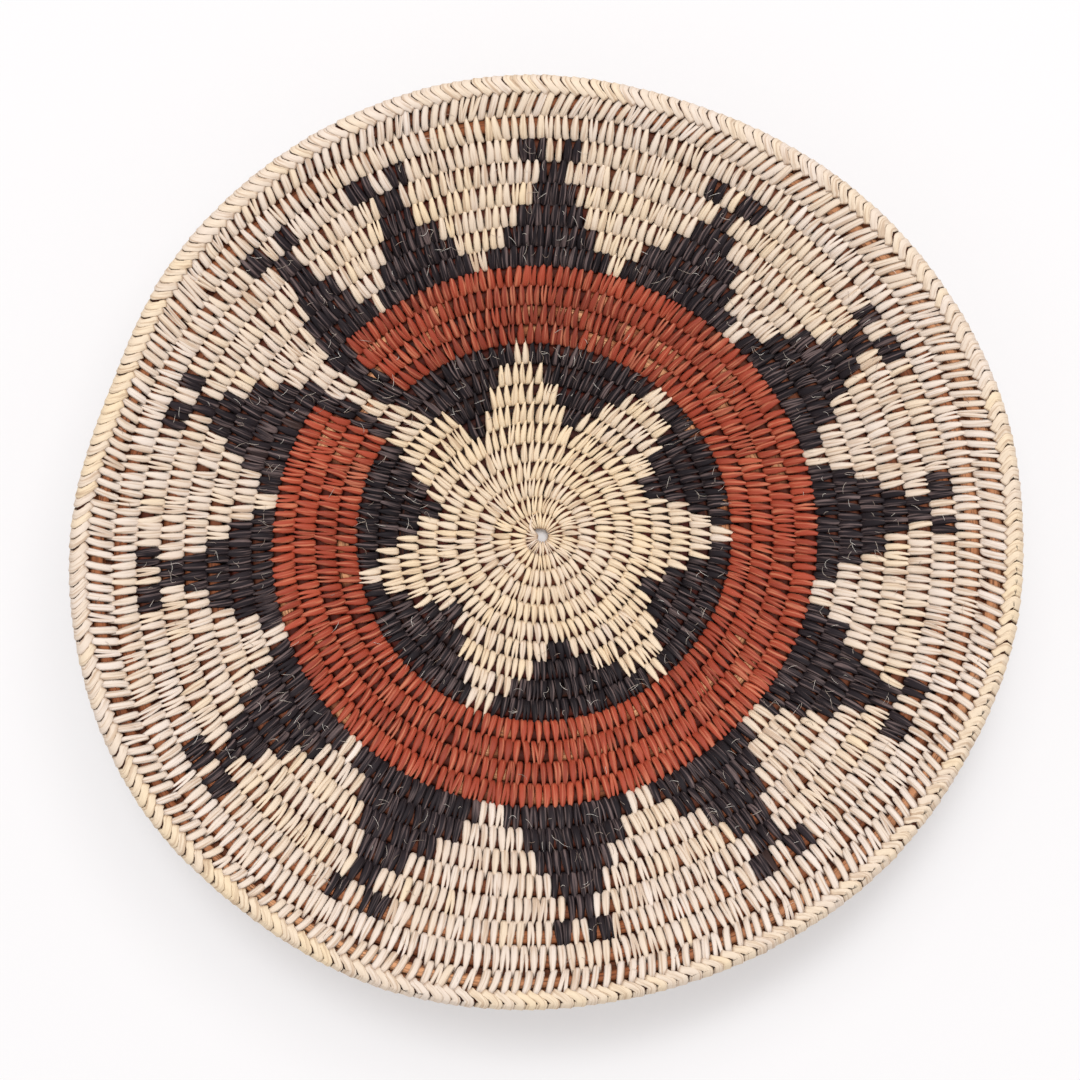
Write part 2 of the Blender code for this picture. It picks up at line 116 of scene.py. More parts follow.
def bells(angle: Array, heights: Bells) -> Array:
    """A sum of bells over the angle, each a Gaussian about its middle.

    Args:
        angle: angles round the basket.
        heights: each bell's middle and spread in degrees, and its height.

    Returns:
        The sum. One spread from its middle a bell is about a third as high.
    """
    total = np.zeros_like(angle)
    for middle, spread, height in heights:
        away = (np.degrees(angle) - middle + 180) % 360 - 180
        total = total + height * np.exp(-((away / spread) ** 2))
    return total


@dataclass(frozen=True)
class Coil:
    """The coil's line and the bowl that it lies on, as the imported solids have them."""

    rounds: int = 22
    pathway_angle: float = math.radians(143)
    hole_radius: float = 2.35 * MM
    round_width: float = 6.7 * MM
    round_width_growth: float = 0.058 * MM
    slow_start: float = 1.0
    step_up: float = 0.35
    step_up_sharpness: float = 0.85
    last_line: float = 0.41
    last_round_ease: float = 0.004
    base_radius: float = 46 * MM
    bowl_depth: float = 55 * MM
    bowl_power: float = 1.25
    rib_half_start: float = 2.7 * MM
    rib_half_end: float = 3.5 * MM
    wall_lift: float = 2.42 * MM
    round_shift: float = 5.7 * MM
    round_shift_angle: float = math.radians(262)
    rim_shift: float = 3.3 * MM
    rim_shift_angle: float = math.radians(289)
    oval: float = 2.6 * MM
    oval_angle: float = math.radians(18)
    corner: float = 1.9 * MM
    corner_angle: float = math.radians(-15)
    bulge: float = 3.8 * MM
    bulge_angle: float = math.radians(120)
    bulge_angle_spread: float = math.radians(52)
    bulge_radius: float = 72 * MM
    bulge_radius_spread: float = 38 * MM
    dents: Bells = (
        (0, 11, 1.5 * MM), (72, 17, 2.1 * MM), (161, 13, 3.5 * MM), (231, 14, 2.5 * MM),
        (334, 15, 1.9 * MM), (286, 22, 0.4 * MM), (200, 25, 0.45 * MM),
    )
    floor_ease: float = 0.6 * MM

    def angle(self, turns: Array) -> Array:
        """Angle round the basket: the pathway's angle plus a full circle a turn."""
        return self.pathway_angle + TURN * turns

    def mean_radius(self, turns: Array) -> Array:
        """Radius of the line between rounds before the outline's wobble.

        The place along the coil is first pushed on by an arctangent wave that steps up at the
        pathway; its square over itself plus one gives the slow start, and a small square term
        widens the outer rounds.

        Args:
            turns: places along the coil, in turns from the hole.

        Returns:
            The mean radius at each place.
        """
        phase = TURN * turns
        sine = self.step_up_sharpness * np.sin(phase)
        cosine = 1 - self.step_up_sharpness * np.cos(phase)
        stepped = turns + self.step_up / math.pi * np.arctan2(sine, cosine)
        start = stepped**2 / (stepped + self.slow_start)
        return self.hole_radius + self.round_width * start + self.round_width_growth * stepped**2

    @property
    def rim_mean_radius(self) -> float:
        """Mean radius of the last round's outer line."""
        return float(self.mean_radius(np.float64(self.rounds + self.last_line)))

    def rim_radius(self, angle: Array) -> Array:
        """Outer line of the last round: the even outline less a few shallow dents, each a bell."""
        return self.even_rim_radius(angle) - bells(angle, self.dents)

    def even_rim_radius(self, angle: Array) -> Array:
        """The outline without its dents: a shift, an oval and three corners, each a cosine."""
        shift = self.rim_shift * np.cos(angle - self.rim_shift_angle)
        return self.rim_mean_radius + shift + self.oval_and_corners(angle, 1.0)

    def oval_and_corners(self, angle: Array, share: Array) -> Array:
        """The oval by the share of the rim's radius, and the corners by its third power."""
        oval = self.oval * share * np.cos(2 * (angle - self.oval_angle))
        return oval + self.corner * share**3 * np.cos(3 * (angle - self.corner_angle))

    def bulge_at(self, mean: Array, angle: Array) -> Array:
        """How far the middle rounds were drawn out on one side: a bell of angle and radius."""
        turned = ((angle - self.bulge_angle + math.pi) % TURN - math.pi) / self.bulge_angle_spread
        away = (mean - self.bulge_radius) / self.bulge_radius_spread
        return self.bulge * np.exp(-(turned**2) - away**2)

    def line_radius(self, turns: Array) -> Array:
        """Inner line of the coil; the cosines grow with the share of the rim's radius."""
        mean = self.mean_radius(turns)
        share = mean / self.rim_mean_radius
        angle = self.angle(turns)
        shift = self.round_shift * share**2 * np.cos(angle - self.round_shift_angle)
        return mean + shift + self.oval_and_corners(angle, share) + self.bulge_at(mean, angle)

    def outer_radius(self, turns: Array) -> Array:
        """Outer line of the coil: the next turn's inner line, eased to the rim at the end."""
        ease = smooth((turns - (self.rounds - 1)) / self.last_round_ease)
        spiral = self.line_radius(turns + 1)
        return spiral + ease * (self.rim_radius(self.angle(turns)) - spiral)

    def rib_radius(self, turns: Array) -> Array:
        """Middle of a round, halfway between its lines."""
        return (self.line_radius(turns) + self.outer_radius(turns)) / 2

    def width(self, turns: Array) -> Array:
        """Width of a round at a place."""
        return self.outer_radius(turns) - self.line_radius(turns)

    def rib_half(self, turns: Array) -> Array:
        """Half the wall's thickness on a rib, growing evenly along the coil."""
        return self.rib_half_start + (self.rib_half_end - self.rib_half_start) * turns / self.rounds

    def place(self, radius: Array, angle: Array, sideways: Array, height: Array) -> Array:
        """Points beside the bowl's middle surface.

        The bowl rises by a power of the reach past its flat middle. Sideways follows the bowl's
        slope but is measured level, and height is square to the slope. A point near the floor is
        eased up by an exponential, so that the stitches that the basket stands on are pressed flat.

        Args:
            radius: radius of the foot point on the middle surface.
            angle: angle round the basket.
            sideways: level distance outwards from the foot point.
            height: distance from the middle surface, positive on the inside of the bowl.

        Returns:
            Points, with x, y and z in the last axis, about the hole.
        """
        flare = self.rim_radius(angle) - self.base_radius
        reach = np.maximum(radius - self.base_radius, 0.0) / flare
        rise = self.bowl_depth * reach**self.bowl_power
        slope = np.arctan2(self.bowl_depth * self.bowl_power * reach ** (self.bowl_power - 1), flare)
        slope = np.where(reach > 0, slope, 0.0)
        out = radius + sideways - height * np.sin(slope)
        up = self.wall_lift + rise + sideways * np.tan(slope) + height * np.cos(slope)
        low = self.floor_ease
        up = np.where(up < low, low * np.exp(np.minimum(up - low, 0.0) / low), up)
        return np.stack([out * np.cos(angle), out * np.sin(angle), up], axis=-1)


@dataclass
class Loop:
    """An oval loop round one round of the coil, in its wall's sideways and height.

    Its angle runs from 0 at the inner end over the top to pi at the outer end and on below.
    """

    middle: Array | float
    half_width: Array | float
    half_height: Array | float
    power: float = 2.2
    tilt: Array | float = 0.0

    def point(self, angle: Array, lift: Array | float) -> tuple[Array, Array]:
        """A point on the loop, or lifted off it.

        A superellipse: cosine and sine each raised to two over the power, times the half sizes.
        The lift follows its outward normal. The tilt lowers the outer end and raises the inner.

        Args:
            angle: angles round the loop.
            lift: distances outwards from the loop.

        Returns:
            Sideways and height of each point.
        """
        cosine, sine = -np.cos(angle), np.sin(angle)
        across = np.sign(cosine) * np.abs(cosine) ** (2 / self.power)
        up = np.sign(sine) * np.abs(sine) ** (2 / self.power)
        normal_across = np.sign(cosine) * np.abs(cosine) ** (2 - 2 / self.power) / self.half_width
        normal_up = np.sign(sine) * np.abs(sine) ** (2 - 2 / self.power) / self.half_height
        length = np.hypot(normal_across, normal_up)
        sideways = self.middle + across * self.half_width + lift * normal_across / length
        height = up * self.half_height + lift * normal_up / length - self.tilt * across
        return sideways, height

    def metric(self, angle: Array) -> Array:
        """Length along the loop for a unit of its angle, as on an ellipse."""
        return np.hypot(self.half_width * np.sin(angle), self.half_height * np.cos(angle))


def new_object(name: str, data: bpy.types.ID) -> bpy.types.Object:
    """An object of some data, linked to the scene."""
    made = bpy.data.objects.new(name, data)
    bpy.context.scene.collection.objects.link(made)
    return made


def circle(corners: int) -> Array:
    """Even angles of a full circle, one for each corner of a section."""
    return np.linspace(0, TURN, corners, endpoint=False)[None, None, :]


def new_piece(name: str, points: Array, closed: bool, finish: bpy.types.Material, slot: Slot,
              uv: tuple[Array | float, Array | float], pattern: Array,
              **traits: Array | float) -> bpy.types.Object:
    """A piece made of many alike tubes, each a grid of stations by corners, closed or capped.

    The corners of one station are joined to the corners of the next by quads. An open tube has a
    cap at each end, and a closed one joins its last station to its first.

    Args:
        name: name of the object.
        points: tubes by stations by corners by three coordinates.
        closed: whether the last station joins the first.
        finish: material of the piece.
        slot: slot of the record that the finish belongs to; not used.
        uv: the two surface coordinates in millimetres, spread over tubes, stations and corners.
        pattern: where each tube lies in the finish's pattern, tubes by two.
        traits: values kept as point attributes, spread in the same way.

    Returns:
        The object, at the origin, riding on the basket's one body.
    """
    tubes, stations, corners = points.shape[:3]
    index = np.arange(tubes * stations * corners).reshape(tubes, stations, corners)
    here = index if closed else index[:, :-1]
    there = np.roll(index, -1, axis=1) if closed else index[:, 1:]
    quads = np.stack([here, there, np.roll(there, -1, axis=2), np.roll(here, -1, axis=2)], axis=-1)
    quads = quads.reshape(-1, 4)
    caps = np.zeros((0, corners), int)
    if not closed:
        caps = np.concatenate([index[:, 0], index[:, -1, ::-1]])
    if tube_volume(points[0], closed) < 0:
        quads, caps = quads[:, ::-1], caps[:, ::-1]
    loops = np.concatenate([quads.ravel(), caps.ravel()])
    starts = np.concatenate([np.arange(len(quads)) * 4, len(quads) * 4 + np.arange(len(caps)) * corners])
    mesh = bpy.data.meshes.new(name)
    mesh.vertices.add(index.size)
    mesh.vertices.foreach_set("co", points.astype(np.float32).ravel())
    mesh.loops.add(len(loops))
    mesh.loops.foreach_set("vertex_index", loops.astype(np.int32))
    mesh.polygons.add(len(quads) + len(caps))
    mesh.polygons.foreach_set("loop_start", starts.astype(np.int32))
    mesh.update(calc_edges=True)
    mesh.validate()
    mesh.shade_smooth()
    layer = mesh.uv_layers.new(name="UVMap")
    spread = np.stack([np.broadcast_to(values, index.shape) for values in uv], axis=-1)
    spread = spread + pattern[:, None, None, :]
    layer.data.foreach_set("uv", spread.reshape(-1, 2)[loops].astype(np.float32).ravel())
    for trait, values in traits.items():
        attribute = mesh.attributes.new(trait, "FLOAT", "POINT")
        values = np.broadcast_to(values, index.shape)
        attribute.data.foreach_set("value", values.astype(np.float32).ravel())
    mesh.materials.append(finish)
    piece = new_object(name, mesh)
    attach(piece, BODY)
    log.info("%s: %d strands, %d faces", name, tubes, len(quads) + len(caps))
    return piece


def tube_volume(points: Array, closed: bool) -> float:
    """Signed volume of one tube, to tell which way its faces turn.

    Each quad is cut in two triangles, and each triangle adds the volume of the tetrahedron that
    it makes with the tube's middle. The caps pass near that middle, so they add little.

    Args:
        points: stations by corners by three coordinates.
        closed: whether the last station joins the first.

    Returns:
        The volume, negative where the quads as built turn inwards.
    """
    points = points - points.mean(axis=(0, 1))
    here = points if closed else points[:-1]
    there = np.roll(points, -1, axis=0) if closed else points[1:]
    here_next, there_next = np.roll(here, -1, axis=1), np.roll(there, -1, axis=1)
    first = np.einsum("ijk,ijk->", here, np.cross(there, there_next))
    second = np.einsum("ijk,ijk->", here, np.cross(there_next, here_next))
    return float(first + second) / 6


class NodeTree:
    """A short way to write the nodes of a material or a world."""

    def __init__(self, owner: bpy.types.Material | bpy.types.World) -> None:
        """Starts the nodes of a new material or world with the shader that it comes with."""
        owner.use_nodes = True
        self.owner = owner
        self.tree = owner.node_tree
        self.shader = self.tree.nodes.get("Principled BSDF") or self.tree.nodes["Background"]

    def add(self, kind: str, inputs: dict | None = None, **settings: object) -> bpy.types.Node:
        """Adds a node.

        Args:
            kind: the node's type.
            inputs: values, or sockets to link, by input name or number.
            settings: properties of the node.

        Returns:
            The node.
        """
        node = self.tree.nodes.new(kind)
        for key, value in settings.items():
            setattr(node, key, value)
        self.fill(node, inputs or {})
        return node

    def fill(self, node: bpy.types.Node, inputs: dict) -> None:
        """Sets or links a node's inputs by name or number."""
        for key, value in inputs.items():
            self.put(node.inputs[key], value)

    def put(self, socket: bpy.types.NodeSocket, value: object) -> None:
        """Links a socket to an input, or sets the input's value."""
        if isinstance(value, bpy.types.NodeSocket):
            self.tree.links.new(value, socket)
        else:
            socket.default_value = value

    def maths(self, operation: str, first: object, second: object, third: object = 0.0) -> object:
        """A number worked out from others by one operation."""
        node = self.add("ShaderNodeMath", {0: first, 1: second, 2: third}, operation=operation)
        return node.outputs[0]

    def mix(self, share: object, first: object, second: object, blend: str = "MIX") -> object:
        """A colour between two others."""
        node = self.add("ShaderNodeMix", data_type="RGBA", blend_type=blend)
        self.fill(node, {0: share, 6: first, 7: second})
        return node.outputs[2]

    def ramp(self, value: object, *stops: tuple[float, tuple[float, float, float]]) -> object:
        """A colour picked from stops by a number.

        Args:
            value: the number.
            stops: places and display colours.

        Returns:
            The colour's socket.
        """
        node = self.add("ShaderNodeValToRGB", {0: value})
        elements = node.color_ramp.elements
        while len(elements) < len(stops):
            elements.new(0.5)
        for element, (place, colour) in zip(elements, stops):
            element.position = place
            element.color = (*map(linear, colour), 1.0)
        return node.outputs[0]

    def trait(self, name: str) -> object:
        """A point attribute's value."""
        return self.add("ShaderNodeAttribute", attribute_name=name).outputs["Fac"]

    def noise(self, vector: object, detail: float) -> object:
        """A noise value along a vector."""
        inputs = {"Vector": vector, "Scale": 1.0, "Detail": detail}
        return self.add("ShaderNodeTexNoise", inputs).outputs["Fac"]

    def seen(self) -> object:
        """One for rays from the camera, in gloss or through glass, and zero for the others."""
        rays = self.add("ShaderNodeLightPath").outputs
        ray = self.maths("MAXIMUM", rays["Is Camera Ray"], rays["Is Glossy Ray"])
        return self.maths("MAXIMUM", ray, rays["Is Transmission Ray"])

    def mix_into(self, output: str, share: object, shown: bpy.types.Node) -> None:
        """Ends the tree with a share of one shader over the shader that it came with."""
        inputs = {0: share, 1: self.shader.outputs[0], 2: shown.outputs[0]}
        mix = self.add("ShaderNodeMixShader", inputs)
        self.put(self.tree.nodes[output].inputs["Surface"], mix.outputs[0])

    def stretched_uv(self, across: float, along: float) -> object:
        """The surface coordinates, in millimetres, stretched for fibres."""
        uv = self.add("ShaderNodeUVMap", uv_map="UVMap").outputs["UV"]
        scale = Vector((across, along, 1.0))
        return self.add("ShaderNodeMapping", {"Vector": uv, "Scale": scale}).outputs["Vector"]


def linear(channel: float) -> float:
    """Linear value of one display colour channel."""
    return channel / 12.92 if channel <= 0.04045 else ((channel + 0.055) / 1.055) ** 2.4


@dataclass(frozen=True)
class SplintFinish:
    """A split splint: a tone that changes from splint to splint, with fibres along it."""

    name: str
    tones: tuple[tuple[float, tuple[float, float, float]], ...]
    fibre: tuple[float, float, float]
    fibre_share: float
    stain: tuple[float, float, float]
    stain_share: float
    # Colour multiplied into the ends: painted shade where they dive into the grooves between rounds;
    # white for none.
    painted_end_shade: tuple[float, float, float]
    roughness: float
    gloss: float = 0.35
    fibre_scale: Ends = (1.15, 0.07)
    fibre_edges: Ends = (0.50, 0.66)
    stain_scale: Ends = (0.5, 0.12)
    stain_edges: Ends = (0.55, 0.8)
    # Rise below which the ends take the painted shade.
    painted_end_shade_rise: float = 0.5
    rough_range: float = 0.25
    noise_mean: float = 0.48
    bump_height: float = 0.16 * MM
    bump_strength: float = 0.6

    def material(self) -> bpy.types.Material:
        """The finish's nodes.

        The tone attribute picks the splint's colour. Long noise along the splint draws the fibres, broad
        noise the stains, and the rise attribute paints shade on the ends, where they dive into the
        grooves between rounds.

        Returns:
            The material.
        """
        nodes = NodeTree(bpy.data.materials.new(self.name))
        black, white = (0.0, 0.0, 0.0), (1.0, 1.0, 1.0)
        fine = nodes.noise(nodes.stretched_uv(*self.fibre_scale), 3.0)
        broad = nodes.noise(nodes.stretched_uv(*self.stain_scale), 2.0)
        colour = nodes.ramp(nodes.trait("tone"), *self.tones)
        for noise, edges, share, shown in (
            (fine, self.fibre_edges, self.fibre_share, self.fibre),
            (broad, self.stain_edges, self.stain_share, self.stain),
        ):
            spots = nodes.ramp(noise, (edges[0], black), (edges[1], white))
            spots = nodes.maths("MULTIPLY", spots, share)
            colour = nodes.mix(spots, colour, (*map(linear, shown), 1.0))
        # Painted shade: the ends darken towards the shade colour as the rise attribute falls.
        painted_end_shading = nodes.ramp(nodes.trait("rise"), (0.0, white), (self.painted_end_shade_rise, black))
        colour = nodes.mix(painted_end_shading, colour, (*map(linear, self.painted_end_shade), 1.0), "MULTIPLY")
        least = self.roughness - self.noise_mean * self.rough_range
        bump = {"Height": fine, "Strength": self.bump_strength, "Distance": self.bump_height}
        nodes.fill(nodes.shader, {
            "Base Color": colour,
            "Roughness": nodes.maths("MULTIPLY_ADD", fine, self.rough_range, least),
            "Specular IOR Level": self.gloss,
            "Normal": nodes.add("ShaderNodeBump", bump).outputs["Normal"],
        })
        return nodes.owner


NATURAL = SplintFinish(
    "natural_splint_fibres",
    (
        (0.0, (0.955, 0.86, 0.725)),
        (0.25, (0.94, 0.855, 0.75)),
        (0.55, (0.92, 0.845, 0.775)),
        (0.8, (0.93, 0.865, 0.81)),
        (1.0, (0.95, 0.89, 0.845)),
    ),
    fibre=(0.74, 0.61, 0.49), fibre_share=0.7,
    stain=(0.90, 0.78, 0.62), stain_share=0.3,
    painted_end_shade=(0.72, 0.58, 0.44), roughness=0.62,
)
DARK = SplintFinish(
    "dark_splint_fibres",
    (
        (0.0, (0.085, 0.065, 0.08)),
        (0.5, (0.12, 0.095, 0.11)),
        (0.85, (0.16, 0.13, 0.145)),
        (1.0, (0.26, 0.18, 0.15)),
    ),
    fibre=(0.54, 0.46, 0.45), fibre_share=0.66,
    stain=(0.07, 0.05, 0.06), stain_share=0.6,
    painted_end_shade=(0.6, 0.5, 0.45), roughness=0.6, gloss=0.15,
)
RED = SplintFinish(
    "red_splint_fibres",
    (
        (0.0, (0.50, 0.19, 0.12)),
        (0.4, (0.62, 0.24, 0.15)),
        (0.75, (0.70, 0.29, 0.19)),
        (1.0, (0.76, 0.38, 0.26)),
    ),
    fibre=(0.87, 0.56, 0.42), fibre_share=0.62,
    stain=(0.44, 0.14, 0.09), stain_share=0.6,
    painted_end_shade=(0.55, 0.30, 0.24), roughness=0.6,
)
ROD = SplintFinish(
    "peeled_rod",
    (
        (0.0, (0.12, 0.07, 0.065)),
        (0.06, (0.25, 0.08, 0.055)),
        (0.14, (0.27, 0.10, 0.065)),
        (0.3, (0.34, 0.18, 0.12)),
        (0.6, (0.60, 0.36, 0.23)),
        (1.0, (0.86, 0.63, 0.46)),
    ),
    fibre=(0.26, 0.14, 0.10), fibre_share=0.8,
    stain=(0.36, 0.20, 0.13), stain_share=0.6,
    painted_end_shade=(1.0, 1.0, 1.0), roughness=0.6, gloss=0.1,
)
LOOSE_FIBRE = SplintFinish(
    "loose_fibre",
    ((0.0, (0.60, 0.52, 0.46)), (0.5, (0.84, 0.79, 0.74)), (1.0, (0.95, 0.93, 0.90))),
    fibre=(0.9, 0.87, 0.82), fibre_share=0.3,
    stain=(0.5, 0.4, 0.35), stain_share=0.3,
    painted_end_shade=(1.0, 1.0, 1.0), roughness=0.5,
)


class Palette:
    """The basket's materials, one for each finish."""

    def __init__(self) -> None:
        """Makes every material once."""
        self.by_slot = {
            Slot.NATURAL: NATURAL.material(),
            Slot.DARK: DARK.material(),
            Slot.RED: RED.material(),
            Slot.ROD: ROD.material(),
        }
        self.loose_fibre = LOOSE_FIBRE.material()


@dataclass(frozen=True)
class Lean:
    """How far some rounds' stitches lean clockwise on their way out, round the basket."""

    mean: float
    wave: float = 0.0
    wave_angle: float = 0.0
    extra: Bells = ()

    def degrees(self, angle: Array) -> Array:
        """The mean, a cosine over the angle, and the bells."""
        wave = self.wave * np.cos(angle - math.radians(self.wave_angle))
        return self.mean + wave + bells(angle, self.extra)


INNER_LEAN = Lean(8, 10, 75)
MIDDLE_LEAN = Lean(4, 9, 30, ((140, 22, -16), (190, 25, 12)))
OUTER_LEAN = Lean(1.5, 3, 60, ((205, 30, -4),))
LAST_LEAN = Lean(14, extra=((72, 35, 11),))
LEAN_WANDER = 4.5
LEAN_STARTS: Ends = (0, 2)
LEAN_TO_MIDDLE: Ends = (5.5, 3)
LEAN_TO_OUTER: Ends = (11, 3)


def lean_degrees(coil: Coil, turns: Array) -> Array:
    """How far the stitches lean clockwise on their way out, by round and angle.

    Args:
        coil: the coil.
        turns: places along it.

    Returns:
        The lean in degrees. It grows from the hole, passes from the inner rounds' lean to the
        middle rounds' and on to the outer rounds', and the last round has its own.
    """
    angle = coil.angle(turns)
    inner, middle, outer = (lean.degrees(angle) for lean in (INNER_LEAN, MIDDLE_LEAN, OUTER_LEAN))
    wander = LEAN_WANDER * np.sin(9.7 * turns) * np.sin(4.1 * turns + 1)
    to_middle, to_outer = onset(turns, LEAN_TO_MIDDLE), onset(turns, LEAN_TO_OUTER)
    lean = inner + (middle - inner) * to_middle + (outer - middle) * to_outer
    lean = (lean + wander) * onset(turns, LEAN_STARTS)
    return np.where(turns > coil.rounds - 1, LAST_LEAN.degrees(angle), lean)


def lean_shift(coil: Coil, turns: Array, tangent: Array) -> Array:
    """Turns by which a stitch's outer end lies clockwise of its inner end.

    Args:
        coil: the coil.
        turns: places along it.
        tangent: tangent of the lean.

    Returns:
        The round's width times the tangent, over the circle at the rib.
    """
    radius = np.maximum(coil.rib_radius(turns), coil.hole_radius)
    return coil.width(turns) * tangent / (TURN * radius)


@dataclass
class StitchRows:
    """Where each stitch of the coil lies, so that most inner ends sit between two tips."""

    coil: Coil
    stitches_per_round_growth: float = 14.5
    fewest_in_a_round: float = 27.0
    most_in_a_round: float = 288.0
    last_round_swing: float = 0.16
    last_round_swing_angle: float = math.radians(75)
    last_rounds: Ends = (20.8, 0.4)
    fine_steps: int = 8001
    pull: float = 0.16
    overrun: float = 0.007

    def round_count(self, turns: Array) -> Array:
        """Stitches that a whole round would have at a place's spacing.

        The hypotenuse of an even growth and the fewest, kept below the most. In the last round
        the count falls by a cosine on one side, where the braid's stitches stand further apart.

        Args:
            turns: places along the coil.

        Returns:
            The counts.
        """
        count = np.hypot(self.stitches_per_round_growth * turns, self.fewest_in_a_round)
        count = np.minimum(count, self.most_in_a_round)
        swing = (1 - np.cos(self.coil.angle(turns) - self.last_round_swing_angle)) / 2
        return count * (1 - onset(turns, self.last_rounds) * self.last_round_swing * swing)

    def places(self) -> Array:
        """Turns at which each stitch's inner end lies, round by round.

        The even places come from the running sum of the round counts. From the second round on,
        each is drawn towards the nearest gap between the tips of the round before, by a sine of
        how far off that gap is, which leaves the spacing nearly even where a stitch is added.

        Returns:
            The places, in turns.
        """
        fine = np.linspace(0.0, self.coil.rounds + self.overrun, self.fine_steps)
        rate = self.round_count(fine)
        sewn = np.concatenate([[0.0], np.cumsum((rate[1:] + rate[:-1]) / 2 * np.diff(fine))])
        even = np.interp(np.arange(math.floor(sewn[-1])), sewn, fine)
        done = even[even < 1]
        for number in range(1, self.coil.rounds + 1):
            here = even[(even >= number) & (even < number + 1)]
            shift = lean_shift(self.coil, done, np.tan(np.radians(lean_degrees(self.coil, done))))
            tips = done - shift + 1
            gaps = (tips[1:] + tips[:-1]) / 2
            count = np.interp(here, gaps, np.arange(len(gaps)))
            off = np.round(count) - count
            here = here + self.pull / self.round_count(here) * np.sin(TURN * off)
            done = np.concatenate([done, here])
        return done


@dataclass
class Sewing:
    """All stitches of the coil, shared out to the motifs whose solids hold them."""

    coil: Coil
    rows: StitchRows
    seed: int = 11
    reach: float = 1.27
    last_reach: float = 1.50
    inward: float = 0.05
    last_inward: float = -0.04
    loop_angles: tuple[float, ...] = (0, 22, 45, 68, 92, 118, 145, 180, 215, 250, 290, 330)
    section: tuple[tuple[float, float], ...] = (
        (-0.5, 0.0), (-0.27, 1.0), (0.27, 1.0), (0.5, 0.0), (0.0, -0.7)
    )
    crown: float = 0.42 * MM
    overlap_tilt: float = 0.22 * MM
    tilt_of_longer: float = 0.15
    splint_width: float = 3.02 * MM
    sides_widening: Bells = ((255, 60, 0.08), (0, 50, -0.05))
    sides_widening_rounds: Ends = (19, 1.5)
    least_half: float = 3.7 * MM
    tightest: float = 0.99
    dark_swell: float = 1.14
    inner_end_shares: Ends = (0.88, 0.58)
    outer_rounds: Ends = (9, 5)
    round_end_share: float = 0.17
    taper_end: float = 1.02
    last_round_shares: Ends = (0.85, 0.90)
    hold_shares: Ends = (0.34, 0.50)
    tip_shares: Ends = (0.20, 0.36)
    tone_parts: tuple[float, float, float] = (0.36, 0.34, 0.11)
    yellow_middle: float = 0.3
    yellow_rounds: Ends = (6, 8)
    yellow_top: Bells = ((95, 45, 0.25),)
    pale_edge: float = 0.25
    pale_rounds: Ends = (18.5, 3)
    lean_spread: float = 2.5
    width_spread: float = 0.07
    loose_spread: float = 0.13 * MM
    bow_mean: float = 0.15 * MM
    bow_spread: float = 0.16 * MM
    drift_spread: float = 0.10 * MM
    parting: Ends = (0.35, 1.65)
    # Ramp along the stitch that caps its rise: painted shade, deepest at the inner end.
    inner_end_painted_shade: Ends = (0.3, 1.9)
    splint_run: int = 14
    split_share: float = 0.13
    split_widths: Ends = (0.62, 0.50)
    split_offsets: Ends = (-0.24, 0.29)
    first_middle: float = 1.7 * MM
    first_half: float = 3.7 * MM
    first_lift: float = 0.5 * MM
    first_width: float = 1.5 * MM
    first_lean: float = 14.0
    hole_rounds: Ends = (0.6, 1)
    hole_overlap: float = 0.3
    hole_shingle: float = 0.3 * MM
    turns: Array = field(init=False)
    lean: Array = field(init=False)
    tone: Array = field(init=False)
    loose: Array = field(init=False)
    bow: Array = field(init=False)
    drift: Array = field(init=False)
    split: Array = field(init=False)
    pattern: Array = field(init=False)
    width: Array = field(init=False)

    def __post_init__(self) -> None:
        """Places the stitches and draws each one's small differences, in a fixed order."""
        random = np.random.default_rng(self.seed)
        inner_ends = self.rows.places()
        count = len(inner_ends)
        self.lean = lean_degrees(self.coil, inner_ends) + random.normal(0, self.lean_spread, count)
        shift = lean_shift(self.coil, inner_ends, np.tan(np.radians(self.lean)))
        self.turns = np.maximum(inner_ends - shift / 2, 0.0)
        angle = self.coil.angle(self.turns)
        least, by_splint, by_stitch = self.tone_parts
        splints = random.uniform(0, 1, count // self.splint_run + 2)
        own = least + by_splint * splints[np.arange(count) // self.splint_run]
        own = own + random.normal(0, by_stitch, count)
        own = own - self.yellow_middle * (1 - onset(self.turns, self.yellow_rounds))
        own = own - bells(angle, self.yellow_top)
        self.tone = np.clip(own + self.pale_edge * onset(self.turns, self.pale_rounds), 0, 1)
        stretch = random.normal(1.0, self.width_spread, count)
        self.loose = random.normal(0.0, self.loose_spread, count)
        self.bow = random.normal(self.bow_mean, self.bow_spread, count)
        self.drift = random.normal(0.0, self.drift_spread, count)
        self.split = random.uniform(0, 1, count) < self.split_share
        self.pattern = random.uniform(0, PATTERN_REACH, (count, 2))
        pitch = np.gradient(inner_ends) * TURN * self.coil.rib_radius(self.turns)
        wider = 1 + bells(angle, self.sides_widening) * onset(self.turns, self.sides_widening_rounds)
        self.width = np.minimum(pitch * self.tightest, self.splint_width * wider) * stretch
        self.width[0], self.lean[0], self.split[0] = self.first_width, self.first_lean, False

    def shares_of_width(self, angle: Array, turns: Array) -> Array:
        """A stitch's width along its loop, as a share of its full width.

        The reach runs from 0 at the inner end to 1 at the tip. The width grows as a quarter of an
        ellipse from the rounded inner end, holds, and falls by a smooth step to the tip. The last
        round's stitches keep their width.

        Args:
            angle: angles round the loop.
            turns: places of the stitches.

        Returns:
            The shares.
        """
        reach = (1 - np.cos(angle)) / 2
        start = 1 - np.clip(reach / self.round_end_share, 0, 1)
        last = turns > self.coil.rounds - 1
        outer = onset(turns, self.outer_rounds)
        blunt = between(self.inner_end_shares, outer)
        swell = blunt + (1 - blunt) * np.sqrt(1 - start**2)
        hold = between(self.hold_shares, outer)
        last_start, last_tip = self.last_round_shares
        tip = np.where(last, last_tip, between(self.tip_shares, outer))
        taper = 1 - (1 - tip) * smooth((reach - hold) / (self.taper_end - hold))
        return np.where(last, np.maximum(swell, last_start), swell) * taper

